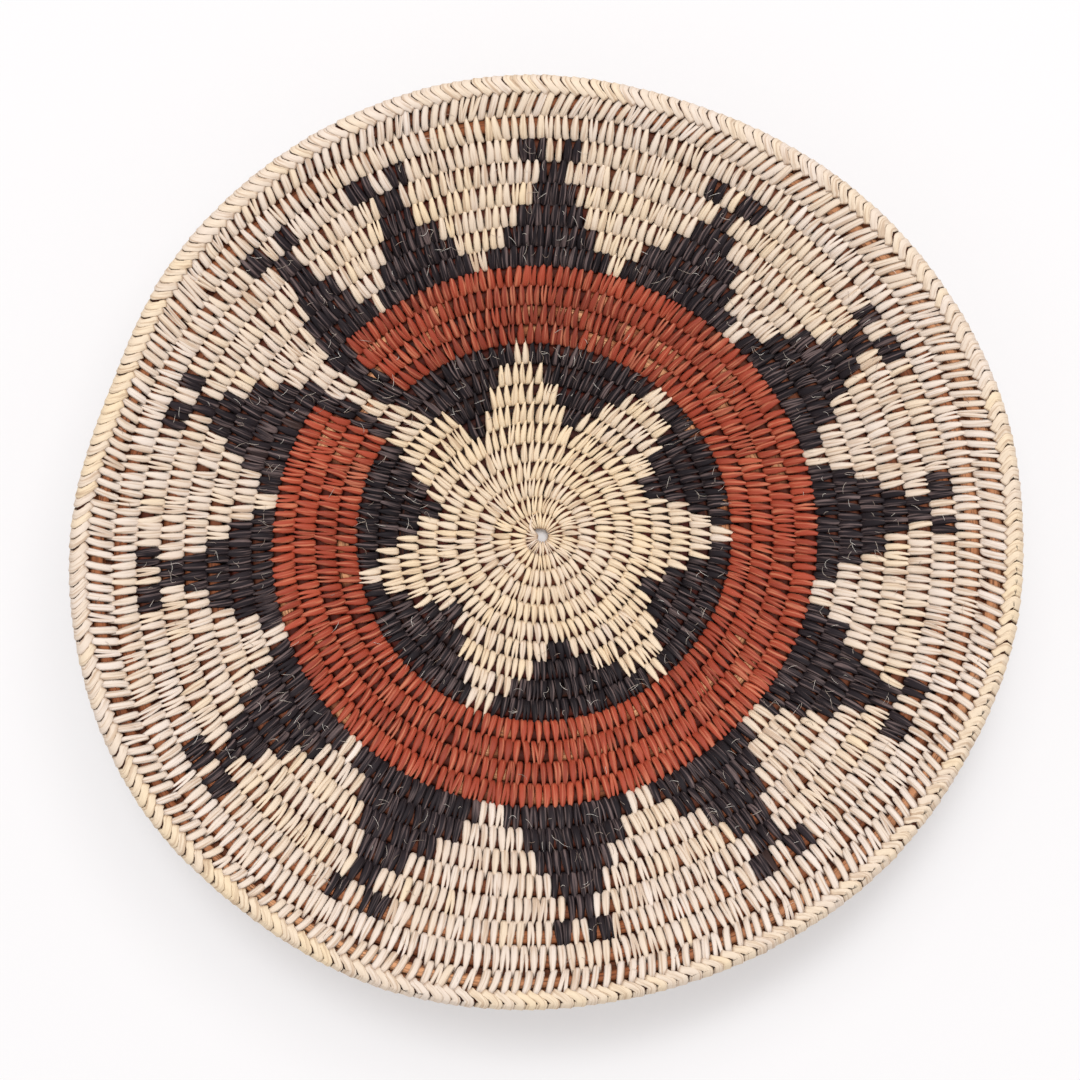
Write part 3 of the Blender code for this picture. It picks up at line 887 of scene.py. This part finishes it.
    def strands(self, chosen: Array) -> dict[str, Array]:
        """The strands to draw for some stitches: one each, or two thin ones that part at the tip.

        Args:
            chosen: numbers of the stitches.

        Returns:
            The stitches' numbers, width shares and sideways offsets as shares of the width.
        """
        split = chosen[self.split[chosen]]
        whole = chosen[~self.split[chosen]]
        number = np.concatenate([whole, split, split])
        share = np.concatenate([np.ones(len(whole)), np.repeat(self.split_widths, len(split))])
        offset = np.concatenate([np.zeros(len(whole)), np.repeat(self.split_offsets, len(split))])
        return {"number": number, "share": share, "offset": offset}

    def loops(self, number: Array, turns: Array) -> Loop:
        """The ovals that some stitches follow.

        The very first stitch is longer and lies on the others. Where the coil runs out under the
        rim, the stitches are lengthened inwards and tilted, so that they lie on the round before.

        Args:
            number: numbers of the stitches.
            turns: their places, shaped to spread over stations and corners.

        Returns:
            The ovals.
        """
        width = self.coil.width(turns)
        last = turns > self.coil.rounds - 1
        first = (number == 0)[:, None, None]
        half_width = np.where(last, self.last_reach, self.reach) * width / 2
        longer = np.where(last, np.maximum(self.least_half - half_width, 0.0), 0.0)
        middle = -np.where(last, self.last_inward, self.inward) * width - longer
        loose = self.loose[number][:, None, None] + first * self.first_lift
        return Loop(
            middle=np.where(first, self.first_middle, middle),
            half_width=np.where(first, self.first_half, half_width + longer),
            half_height=self.coil.rib_half(turns) - self.crown + loose,
            tilt=self.overlap_tilt + self.tilt_of_longer * longer,
        )

    def build(self, name: str, node: str, chosen: Array, finish: bpy.types.Material) -> bpy.types.Object:
        """One motif's stitches.

        Each strand follows its loop; its section is an edge, two shoulders, an edge and a point
        inside. Offsets along the coil are turned into angles by the rib's radius, so the stitches
        narrow towards the hole. Round the hole that radius is mixed with the strand's own, as
        powers that add up to one, so that they narrow less and lap over each other.

        Args:
            name: name of the piece.
            node: CAD node that it stands for.
            chosen: numbers of the stitches.
            finish: its material.

        Returns:
            The piece.
        """
        strands = self.strands(chosen)
        number = strands["number"]
        turns = self.turns[number][:, None, None]
        angle = np.radians(np.array(self.loop_angles, float))[None, :, None]
        edge, crest = np.array(self.section, float).T[:, None, None]
        rib = self.coil.rib_radius(turns)
        loop = self.loops(number, turns)
        near_hole = 1 - onset(turns, self.hole_rounds)
        lift = self.crown * crest * strands["share"][:, None, None] ** 0.5
        lift = lift + self.hole_shingle * 2 * edge * near_hole
        sideways, height = loop.point(angle, lift)
        stretch = sideways / (self.coil.width(turns) / 2)
        swell = self.dark_swell if slot_of(node) is Slot.DARK else 1.0
        own = (self.width[number] * strands["share"])[:, None, None] * swell
        taper = self.shares_of_width(angle, turns)
        across = edge * own * taper
        lean = -np.tan(np.radians(self.lean[number]))[:, None, None] * sideways
        bow = self.bow[number][:, None, None] * (1 - stretch**2)
        reach = (1 - np.cos(angle)) / 2
        parting = between(self.parting, reach) * (1 + taper) / 2
        aside = (strands["offset"] * self.width[number])[:, None, None] * parting
        aside = aside + self.drift[number][:, None, None]
        even = self.hole_overlap * near_hole
        reference = rib ** (1 - even) * np.maximum(rib + sideways, self.coil.hole_radius / 2) ** even
        around = self.coil.angle(turns) + (across + lean + bow + aside) / reference
        points = self.coil.place(rib, around, sideways, height) + BASKET_PLACE
        along = angle * (loop.half_width + loop.half_height) / 2
        uv, pattern = (across / MM, along / MM), self.pattern[number]
        # Rise attribute: painted shade on the stitch's ends where they dive into the grooves between
        # rounds, 0 at the ends and 1 over the top.
        rise = np.minimum(np.abs(np.sin(angle)), between(self.inner_end_painted_shade, reach))
        tone = self.tone[number][:, None, None]
        piece = new_piece(
            name, points, True, finish, slot_of(node), uv, pattern, tone=tone, rise=rise
        )
        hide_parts(node)
        return piece

    def owners(self, nodes: list[str]) -> Array:
        """The motif that holds each stitch: the node with the face nearest the stitch's top.

        Args:
            nodes: names of the sewn nodes.

        Returns:
            For each stitch, the number of its node in the list.
        """
        corners, faces, owner = [], [], []
        total = 0
        for number, node in enumerate(nodes):
            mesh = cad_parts[node].data
            mesh.calc_loop_triangles()
            co = np.zeros(len(mesh.vertices) * 3, np.float32)
            mesh.vertices.foreach_get("co", co)
            tri = np.zeros(len(mesh.loop_triangles) * 3, np.int32)
            mesh.loop_triangles.foreach_get("vertices", tri)
            corners.append(co.reshape(-1, 3))
            faces.append(tri.reshape(-1, 3) + total)
            owner.append(np.full(len(tri) // 3, number))
            total += len(mesh.vertices)
        tree = BVHTree.FromPolygons(np.concatenate(corners).tolist(), np.concatenate(faces).tolist())
        owner = np.concatenate(owner)
        rib, angle = self.coil.rib_radius(self.turns), self.coil.angle(self.turns)
        half = self.coil.rib_half(self.turns)
        tops = self.coil.place(rib, angle, np.zeros_like(rib), half) + BASKET_PLACE
        nearest = [tree.find_nearest(Vector(top))[2] for top in tops.tolist()]
        return owner[np.array(nearest)]

    def build_all(self, palette: Palette) -> list[Slot]:
        """Every motif's stitches, each piece in its node's place.

        Args:
            palette: the basket's materials.

        Returns:
            The slot of each stitch.
        """
        nodes = sorted(set(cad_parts) - {"foundation_coil", "braided_rim"})
        owners = self.owners(nodes)
        for number, node in enumerate(nodes):
            chosen = np.nonzero(owners == number)[0]
            self.build(f"{node}_stitches", node, chosen, palette.by_slot[slot_of(node)])
        return [slot_of(nodes[number]) for number in owners]


@dataclass
class Foundation:
    """Three peeled rods that wind side by side through every round."""

    coil: Coil
    start: float = 0.03
    inset: float = 0.30 * MM
    width_share: float = 0.275
    sides: int = 8
    stations_per_round: int = 84
    # The top rod's tone by round: partly the rods' own colour, partly painted light and shade, dark in
    # the inner rounds whose narrow gaps lie in shade and lightest on the side of the last round that
    # faces the key lamp.
    tones: tuple[Ends, ...] = (
        (0, 0.3), (3, 0.2), (4.5, 0.03), (8, 0.02), (8.8, 0.0), (9.2, 0.1), (13.4, 0.1),
        (14.2, 0.25), (18, 0.36), (20, 0.54), (20.6, 0.58), (21, 0.82), (21.2, 0.85),
        (21.3, 1.0), (21.5, 1.0), (21.6, 0.75), (21.8, 0.62), (22, 0.65)
    )
    fleck_share: float = 0.17
    fleck_light: float = 0.9
    fleck_rounds: tuple[Ends, Ends] = ((9.3, 0.4), (13.2, 0.4))
    # Painted shade on the rods at about 105 degrees, where the wall faces away from the key lamp.
    shade: Bells = ((105, 42, 0.5),)
    wander: float = 0.05
    wander_step: float = 0.125
    patches: Ends = (0.03, 0.23)
    patch_step: float = 0.0625
    # Share of the top rod's tone that the two lower rods take, by round: painted shade, for the shadow
    # under the top rod.
    lower_rods_painted_shade: Ends = (0.45, 0.75)
    lower_rods_shade_rounds: Ends = (19, 2)
    patterns: tuple[Ends, ...] = ((0, 0), (50, 90), (120, 300))
    seed: int = 5

    def along(self, turns: Array, step: float, random: np.random.Generator) -> Array:
        """A random line along the coil: normal values at even steps, joined straight."""
        knots = np.arange(0, self.coil.rounds + 1, step)
        return np.interp(turns, knots, random.normal(0, 1, len(knots)))

    def tone(self, turns: Array, random: np.random.Generator) -> Array:
        """The top rod's tone: the round's own, partly painted light and shade, less a painted shade on
        one side, with patches and flecks.

        Args:
            turns: places along the coil.
            random: source of the patches and flecks.

        Returns:
            The tone at each place, between 0 and 1.
        """
        light = np.interp(turns, *np.array(self.tones).T)
        # Painted shade on one side of the bowl.
        light = light * (1 - bells(self.coil.angle(turns), self.shade))
        patches = self.along(turns, self.patch_step, random) * between(self.patches, light)
        start, end = self.fleck_rounds
        among_red = onset(turns, start) * (1 - onset(turns, end))
        flecks = (random.uniform(0, 1, len(turns)) < self.fleck_share) * among_red
        return np.clip(light + patches + flecks * self.fleck_light, 0, 1)

    def build(self, palette: Palette) -> bpy.types.Object:
        """The rods as three tubes.

        Their middles make a triangle, two below and one on top. A tube's section is an ellipse in
        the wall's sideways and height, as wide as the round allows and pressed between the
        stitches over and under it.

        Args:
            palette: the basket's materials.

        Returns:
            The piece that stands for the bundle.
        """
        coil = self.coil
        stations = round((coil.rounds - self.start) * self.stations_per_round)
        turns = np.linspace(self.start, coil.rounds, stations)[None, :, None]
        fit = (coil.rib_half(turns) - self.inset * 2) * 2 / (2 + math.sqrt(3))
        radius = self.width_share * coil.width(turns)
        tall = np.minimum(radius, fit)
        random = np.random.default_rng(self.seed)
        wander = self.wander * self.along(turns.ravel(), self.wander_step, random)
        sideways = np.array([0.0, 1.0, -1.0])[:, None, None] * radius + wander[None, :, None] * radius
        middle = np.array([1.0, -1.0, -1.0])[:, None, None] * tall * math.sqrt(3) / 2
        turn = circle(self.sides)
        sideways, height = sideways + radius * np.cos(turn), middle + tall * np.sin(turn)
        rib, angle = coil.rib_radius(turns), coil.angle(turns)
        points = coil.place(rib, angle, sideways, height) + BASKET_PLACE
        along = np.cumsum(np.gradient(turns.ravel()) * TURN * rib.ravel())[None, :, None] / MM
        uv, pattern = (turn * radius / MM, along), np.array(self.patterns, float)
        tone = self.tone(turns.ravel(), random)[None, :, None]
        # The lower rods are painted darker than the top rod: painted shade.
        below = between(self.lower_rods_painted_shade, onset(turns, self.lower_rods_shade_rounds))
        tone = np.concatenate([tone, tone * below, tone * below])
        finish = palette.by_slot[Slot.ROD]
        piece = new_piece(
            "foundation_rods", points, False, finish, Slot.ROD, uv, pattern, tone=tone, rise=1.0
        )
        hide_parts("foundation_coil")
        return piece


@dataclass(frozen=True)
class LegCourse:
    """One course of the rim's plait: where its legs start, turn and end round the rim's oval."""

    name: str
    start: float
    turn: float
    end: float
    slant: float
    turned_slant: float
    offset: float
    lift_start: float
    lift_end: float
    stations: int


@dataclass
class BraidedRim:
    """The plaited edge: legs that slant over the top and hook back outside, and legs below."""

    coil: Coil
    sewing: Sewing
    width: float = 5.2 * MM
    height: float = 7.4 * MM
    seam: float = -0.5 * MM
    turned_share: float = 0.25
    turn_spread: float = 20.0
    turn_swing: float = 18.0
    turn_swing_angle: float = math.radians(-40)
    leg_cover: float = 1.0
    crown: float = 0.34 * MM
    shingle: float = 0.2 * MM
    steeper: Bells = ((275, 50, 0.6), (70, 40, 0.2))
    tone_parts: tuple[float, float, float] = (0.08, 0.55, 0.12)
    leg_run: int = 12
    along_spread: float = 0.12 * MM
    width_spread: float = 0.05
    lift_spread: float = 0.06 * MM
    whole_turn: float = 0.998
    loop_growth: Ends = (0.1 * MM, -0.66 * MM)
    loop_power: float = 2.6
    lift_shares: Ends = (0.12, 0.14)
    # Rise at a leg's ends and over its middle, and the share of its length over which it changes:
    # painted shade on the ends, where the leg dips under the others.
    leg_end_painted_shade: Ends = (0.25, 1.0)
    leg_end_shade_reach: float = 0.15
    core_tone: float = 0.25
    core_depth: float = 0.75 * MM
    core_stations: int = 720
    core_sides: int = 12
    seed: int = 23
    courses: tuple[LegCourse, ...] = (
        LegCourse("hooked", 60, 154, 262, 0.95, -0.95, 0.1, 0.4 * MM, -0.5 * MM, 19),
        LegCourse("under", 246, 300, 345, 0.80, 0.80, 0.1, -0.6 * MM, -0.5 * MM, 7),
    )
    section: tuple[tuple[float, float], ...] = (
        (-0.5, 0.2), (-0.38, 1.0), (0.38, 1.0), (0.5, 0.2), (0.0, -0.8)
    )

    def build(self, palette: Palette) -> list[bpy.types.Object]:
        """The two courses and the bundle in them, each a piece of its own."""
        random = np.random.default_rng(self.seed)
        last = self.sewing.turns[self.sewing.turns > self.coil.rounds - 1]
        last = last[last < last[0] + self.whole_turn]
        missing = round((last[0] + 1 - last[-1]) / (last[1] - last[0])) - 1
        last = np.concatenate([last, np.linspace(last[-1], last[0] + 1, missing + 2)[1:-1]])
        finish = palette.by_slot[Slot.NATURAL]
        legs = [self.course(course, last, random, finish) for course in self.courses]
        return [*legs, self.core(palette)]

    def core(self, palette: Palette) -> bpy.types.Object:
        """The bundle that the legs are plaited over: an oval tube round the rim, joined to itself.

        Args:
            palette: the basket's materials.

        Returns:
            The piece.
        """
        angle = np.linspace(0, TURN, self.core_stations, endpoint=False)[None, :, None]
        turn = circle(self.core_sides)
        across = self.seam + self.width / 2 + (self.width / 2 - self.core_depth) * np.cos(turn)
        height = (self.height / 2 - self.core_depth) * np.sin(turn)
        radius = self.coil.rim_radius(angle)
        points = self.coil.place(radius, angle, across, height) + BASKET_PLACE
        uv, pattern = (across / MM, angle * radius / MM), np.zeros((1, 2))
        finish = palette.by_slot[Slot.ROD]
        piece = new_piece(
            "braid_core", points, True, finish, Slot.ROD, uv, pattern, tone=self.core_tone, rise=1.0
        )
        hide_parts("braided_rim")
        return piece

    def course(self, course: LegCourse, turns: Array, random: np.random.Generator,
               finish: bpy.types.Material) -> bpy.types.Object:
        """One course of legs.

        Each leg runs round the rim's oval from its start to its end angle while it moves along
        the rim by its slant times the advance, which is mostly the level distance covered and
        partly the distance round the oval, so that it looks straight from above. About its turn
        the slant changes to the turned slant by a smooth step. Its section lies square to its own
        direction, and one edge is lifted to lap over the leg before it.

        Args:
            course: the course's places and slant.
            turns: places along the last round where legs start.
            random: source of the legs' small differences.
            finish: material of the legs.

        Returns:
            The piece.
        """
        count = len(turns)
        angle = np.radians(np.linspace(course.start, course.end, course.stations))[None, :, None]
        edge, crest = np.array(self.section, float).T[:, None, None]
        half_width = self.width / 2 + self.loop_growth[0]
        half_height = self.height / 2 + self.loop_growth[1]
        loop = Loop(self.seam + self.width / 2, half_width, half_height, self.loop_power)
        metric = loop.metric(angle)
        step = np.diff(angle, axis=1) * (metric[:, 1:] + metric[:, :-1]) / 2
        covered = np.concatenate([np.zeros((1, 1, 1)), np.cumsum(step, axis=1)], axis=1)
        level = np.abs(np.diff(loop.point(angle, 0.0)[0], axis=1))
        advance = (1 - self.turned_share) * level + self.turned_share * step
        where = self.coil.angle(turns)[:, None, None]
        pitch = (np.gradient(turns) * TURN * self.coil.rim_radius(where.ravel()))[:, None, None]
        turn = course.turn - self.turn_swing * np.cos(where - self.turn_swing_angle)
        bend = smooth((np.degrees(angle) - turn + self.turn_spread) / (2 * self.turn_spread))
        slant = course.slant * (1 + bells(where, self.steeper))
        slant = slant + (course.turned_slant - slant) * bend
        ahead = (slant[:, 1:] + slant[:, :-1]) / 2 * advance
        run = np.concatenate([np.zeros((count, 1, 1)), np.cumsum(ahead, axis=1)], axis=1)
        slope = np.gradient(run[..., 0], covered.ravel(), axis=1)[..., None]
        run = run + course.offset * pitch + random.normal(0, self.along_spread, (count, 1, 1))
        cosine = 1 / np.hypot(1, slope)
        sine = slope * cosine
        wide = pitch * cosine * self.leg_cover * random.normal(1, self.width_spread, (count, 1, 1))
        place = angle - edge * wide * sine / metric
        along = run + edge * wide * cosine
        share = covered / covered[:, -1:]
        lift = course.lift_start * smooth(1 - share / self.lift_shares[0])
        lift = lift + course.lift_end * smooth(1 - (1 - share) / self.lift_shares[1])
        lift = lift + self.crown * crest + self.shingle * edge * 2
        lift = lift + random.normal(0, self.lift_spread, (count, 1, 1))
        sideways, height = loop.point(place, lift)
        around = where + along / self.coil.rim_radius(where)
        radius = self.coil.rim_radius(around)
        points = self.coil.place(radius, around, sideways, height) + BASKET_PLACE
        uv, pattern = (edge * wide / MM, covered / MM), random.uniform(0, PATTERN_REACH, (count, 2))
        least, by_run, by_leg = self.tone_parts
        runs = random.uniform(0, 1, count // self.leg_run + 1)[np.arange(count) // self.leg_run]
        tone = np.clip(least + by_run * runs + random.normal(0, by_leg, count), 0, 1)[:, None, None]
        # Painted shade on each leg's ends, where they dip under the others.
        rise = between(self.leg_end_painted_shade, smooth(np.minimum(share, 1 - share) / self.leg_end_shade_reach))
        name = f"braid_{course.name}_legs"
        piece = new_piece(
            name, points, False, finish, Slot.NATURAL, uv, pattern, tone=tone, rise=rise
        )
        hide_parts("braided_rim")
        return piece


@dataclass
class LooseFibres:
    """Fine fibres that have split off the splints and lie over the sewing."""

    coil: Coil
    sewing: Sewing
    count: int = 620
    thickness: float = 0.18 * MM
    thinning: float = 0.6
    lengths: Ends = (1.6 * MM, 5.5 * MM)
    bend: float = 1.1
    arches: Ends = (0.3 * MM, 1.1 * MM)
    arch_power: float = 0.8
    sunk: float = 0.15 * MM
    clear_of_rim: float = 1 * MM
    sparse_rounds: float = 3.0
    least_likely: float = 0.1
    stations: int = 7
    sides: int = 3
    tangles: tuple[tuple[float, float, float, float], ...] = (
        (175, 101 * MM, 7 * MM, 9.0), (224, 122 * MM, 8 * MM, 9.0), (300, 128 * MM, 9 * MM, 3.0)
    )
    likeliness: tuple[tuple[Slot, float], ...] = (
        (Slot.DARK, 1.0), (Slot.RED, 0.08), (Slot.NATURAL, 0.12), (Slot.ROD, 0.0)
    )
    seed: int = 41

    def weights(self, owners: list[Slot]) -> Array:
        """How often a stitch has a loose fibre, by its splint's kind and near each tangle.

        A tangle adds a bell about its angle and radius.

        Args:
            owners: each stitch's slot.

        Returns:
            A share for each stitch, adding up to one.
        """
        kinds = dict(self.likeliness)
        weight = np.array([kinds[slot] for slot in owners])
        angle, radius = self.coil.angle(self.sewing.turns), self.coil.rib_radius(self.sewing.turns)
        more = np.ones_like(radius)
        for middle, away, spread, strength in self.tangles:
            along = ((angle - math.radians(middle) + math.pi) % TURN - math.pi) * away
            more += strength * np.exp(-((along / spread) ** 2) - ((radius - away) / spread) ** 2)
        weight = weight * more * np.clip(self.sewing.turns / self.sparse_rounds, self.least_likely, 1)
        return weight / weight.sum()

    def build(self, palette: Palette, owners: list[Slot]) -> bpy.types.Object:
        """The fibres as thin closed tubes.

        Each starts inside a stitch's top and runs off in a random direction on an arc of steady
        curvature, rising off the sewing by a half sine and sinking at its end.

        Args:
            palette: the basket's materials.
            owners: each stitch's slot.

        Returns:
            The piece.
        """
        random = np.random.default_rng(self.seed)
        chosen = random.choice(len(owners), self.count, p=self.weights(owners))
        turns = self.sewing.turns[chosen][:, None]
        share = np.linspace(0, 1, self.stations)[None, :]
        step = random.uniform(*self.lengths, (self.count, 1)) / (self.stations - 1)
        heading = random.uniform(0, TURN, (self.count, 1))
        heading = heading + random.normal(0, self.bend, (self.count, 1)) * share
        out = np.cumsum(np.cos(heading) * step, axis=1) - np.cos(heading[:, :1]) * step
        aside = np.cumsum(np.sin(heading) * step, axis=1) - np.sin(heading[:, :1]) * step
        rib, angle = self.coil.rib_radius(turns), self.coil.angle(turns)
        arch = random.uniform(*self.arches, (self.count, 1)) * np.sin(math.pi * share**self.arch_power)
        height = self.coil.rib_half(turns) - self.sunk + arch
        radius = np.minimum(rib + out, self.coil.rim_radius(angle) - self.clear_of_rim)
        path = self.coil.place(radius, angle + aside / rib, np.zeros_like(out), height) + BASKET_PLACE
        ahead = np.gradient(path, axis=1)
        ahead /= np.linalg.norm(ahead, axis=-1, keepdims=True)
        side = np.cross(ahead, np.array([0.0, 0.0, 1.0]))
        side /= np.linalg.norm(side, axis=-1, keepdims=True)
        up = np.cross(side, ahead)
        turn = circle(self.sides)[..., None]
        ring = np.cos(turn) * side[:, :, None] + np.sin(turn) * up[:, :, None]
        thick = self.thickness / 2 * (1 - self.thinning * share**3)[:, :, None, None]
        points = path[:, :, None] + thick * ring
        uv, pattern = (0.0, 0.0), random.uniform(0, PATTERN_REACH, (self.count, 2))
        tone = random.uniform(0, 1, (self.count, 1, 1))
        return new_piece(
            "loose_fibres", points, False, palette.loose_fibre, Slot.NATURAL, uv, pattern,
            tone=tone, rise=1.0
        )


@dataclass
class Studio:
    """Pale floor, soft light and the camera high over the basket."""

    frame_width: float = 414.7 * MM
    aim: tuple[float, float] = (-2.92 * MM, 0.67 * MM)
    distance: float = 12.0
    sensor: float = 36.0
    world_light: float = 0.63
    world_shown: tuple[float, float, float, float] = (0.97, 0.965, 0.97, 1.0)
    floor_size: float = 60.0
    floor_colour: tuple[float, float, float, float] = (0.94, 0.925, 0.93, 1.0)
    floor_shown: tuple[float, float, float, float] = (0.99, 0.97, 0.975, 1.0)
    # Painted light on the floor: a camera-only white glow whose share grows by steps with distance from
    # this point.
    painted_floor_glow_middle: tuple[float, float, float] = (0.0, -20 * MM, 0.0)
    painted_floor_glow_steps: tuple[tuple[float, float, float], ...] = (
        (60 * MM, 120 * MM, 0.38), (162 * MM, 186 * MM, 0.40)
    )
    lights: tuple[tuple[str, tuple[float, float, float], float, float], ...] = (
        ("key", (0.2, 0.75, 1.8), 19.0, 0.9), ("fill", (-0.8, -0.2, 1.9), 3.0, 1.6)
    )

    def build(self) -> None:
        """Makes the world, the lamps, the floor and the camera."""
        self.world()
        self.floor()
        self.lamps()
        self.camera()

    def world(self) -> None:
        """White for the camera and for gloss, softer as a light."""
        nodes = NodeTree(bpy.data.worlds.new("studio"))
        nodes.fill(nodes.shader, {"Color": (1.0, 1.0, 1.0, 1.0), "Strength": self.world_light})
        shown = nodes.add("ShaderNodeBackground", {"Color": self.world_shown, "Strength": 1.0})
        nodes.mix_into("World Output", nodes.seen(), shown)
        bpy.context.scene.world = nodes.owner

    def floor(self) -> None:
        """A wide pale sheet with the basket's shadow, part of which the camera sees as white: a painted
        glow that grows away from a point near the middle and thins the shadow more at the sides and top
        than below.
        """
        half = self.floor_size / 2
        mesh = bpy.data.meshes.new("floor")
        corners = [(-half, -half, 0), (half, -half, 0), (half, half, 0), (-half, half, 0)]
        mesh.from_pydata(corners, [], [(0, 1, 2, 3)])
        floor = new_object("floor", mesh)
        nodes = NodeTree(bpy.data.materials.new("pale_floor"))
        base = {"Base Color": self.floor_colour, "Roughness": 0.9, "Specular IOR Level": 0.0}
        nodes.fill(nodes.shader, base)
        shown = nodes.add("ShaderNodeEmission", {"Color": self.floor_shown, "Strength": 1.0})
        # Painted light: the white glow's share grows away from the point, so it thins the shadow more at
        # the sides and top than below.
        place = nodes.add("ShaderNodeTexCoord").outputs["Object"]
        ends = {0: place, 1: self.painted_floor_glow_middle}
        away = nodes.add("ShaderNodeVectorMath", ends, operation="DISTANCE").outputs["Value"]
        share = 0.0
        for start, end, part in self.painted_floor_glow_steps:
            reach = {"Value": away, "From Min": start, "From Max": end, "To Max": part}
            step = nodes.add("ShaderNodeMapRange", reach, interpolation_type="SMOOTHSTEP")
            share = nodes.maths("ADD", step.outputs["Result"], share)
        share = nodes.maths("MULTIPLY", nodes.seen(), share)
        nodes.mix_into("Material Output", share, shown)
        mesh.materials.append(nodes.owner)

    def lamps(self) -> None:
        """One broad lamp from the top of the picture and a faint one from the left."""
        for name, place, power, size in self.lights:
            light = bpy.data.lights.new(name, "AREA")
            light.energy = power
            light.shape = "DISK"
            light.size = size
            lamp = new_object(name, light)
            lamp.location = place
            lamp.rotation_euler = (-Vector(place)).to_track_quat("-Z", "Y").to_euler()

    def camera(self) -> None:
        """A long lens straight above, framed as the photograph is."""
        data = bpy.data.cameras.new("camera")
        data.sensor_width = self.sensor
        data.lens = self.sensor * self.distance / self.frame_width
        data.clip_end = 2 * self.distance
        camera = new_object("camera", data)
        camera.location = (*self.aim, self.distance)
        bpy.context.scene.camera = camera


def basket_place(coil: Coil) -> Array:
    """Where the hole lies: the rim's box in the frame less the rim's box about the hole.

    Args:
        coil: the coil.

    Returns:
        The hole's place, x, y and zero.
    """
    lowest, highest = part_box("braided_rim")
    angle = np.linspace(0, TURN, 721)
    radius = coil.even_rim_radius(angle)
    x, y = radius * np.cos(angle), radius * np.sin(angle)
    own = np.array([(x.min() + x.max()) / 2, (y.min() + y.max()) / 2, 0.0])
    middle = (np.array(lowest) + np.array(highest)) / 2
    return np.array([middle[0], middle[1], 0.0]) - own


COIL = Coil()
BASKET_PLACE = basket_place(COIL)


def main() -> None:
    """Builds the basket piece by piece, then its studio."""
    logging.basicConfig(level=logging.INFO, format="%(name)s %(message)s")
    log.info("hole at %s mm", np.round(BASKET_PLACE / MM, 3))
    palette = Palette()
    rows = StitchRows(COIL)
    sewing = Sewing(COIL, rows)
    log.info("%d stitches", len(sewing.turns))
    slots = sewing.build_all(palette)
    Foundation(COIL).build(palette)
    BraidedRim(COIL, sewing).build(palette)
    LooseFibres(COIL, sewing).build(palette, slots)
    Studio().build()
    bpy.context.scene.view_settings.view_transform = "Standard"


if __name__ == "__main__":
    main()
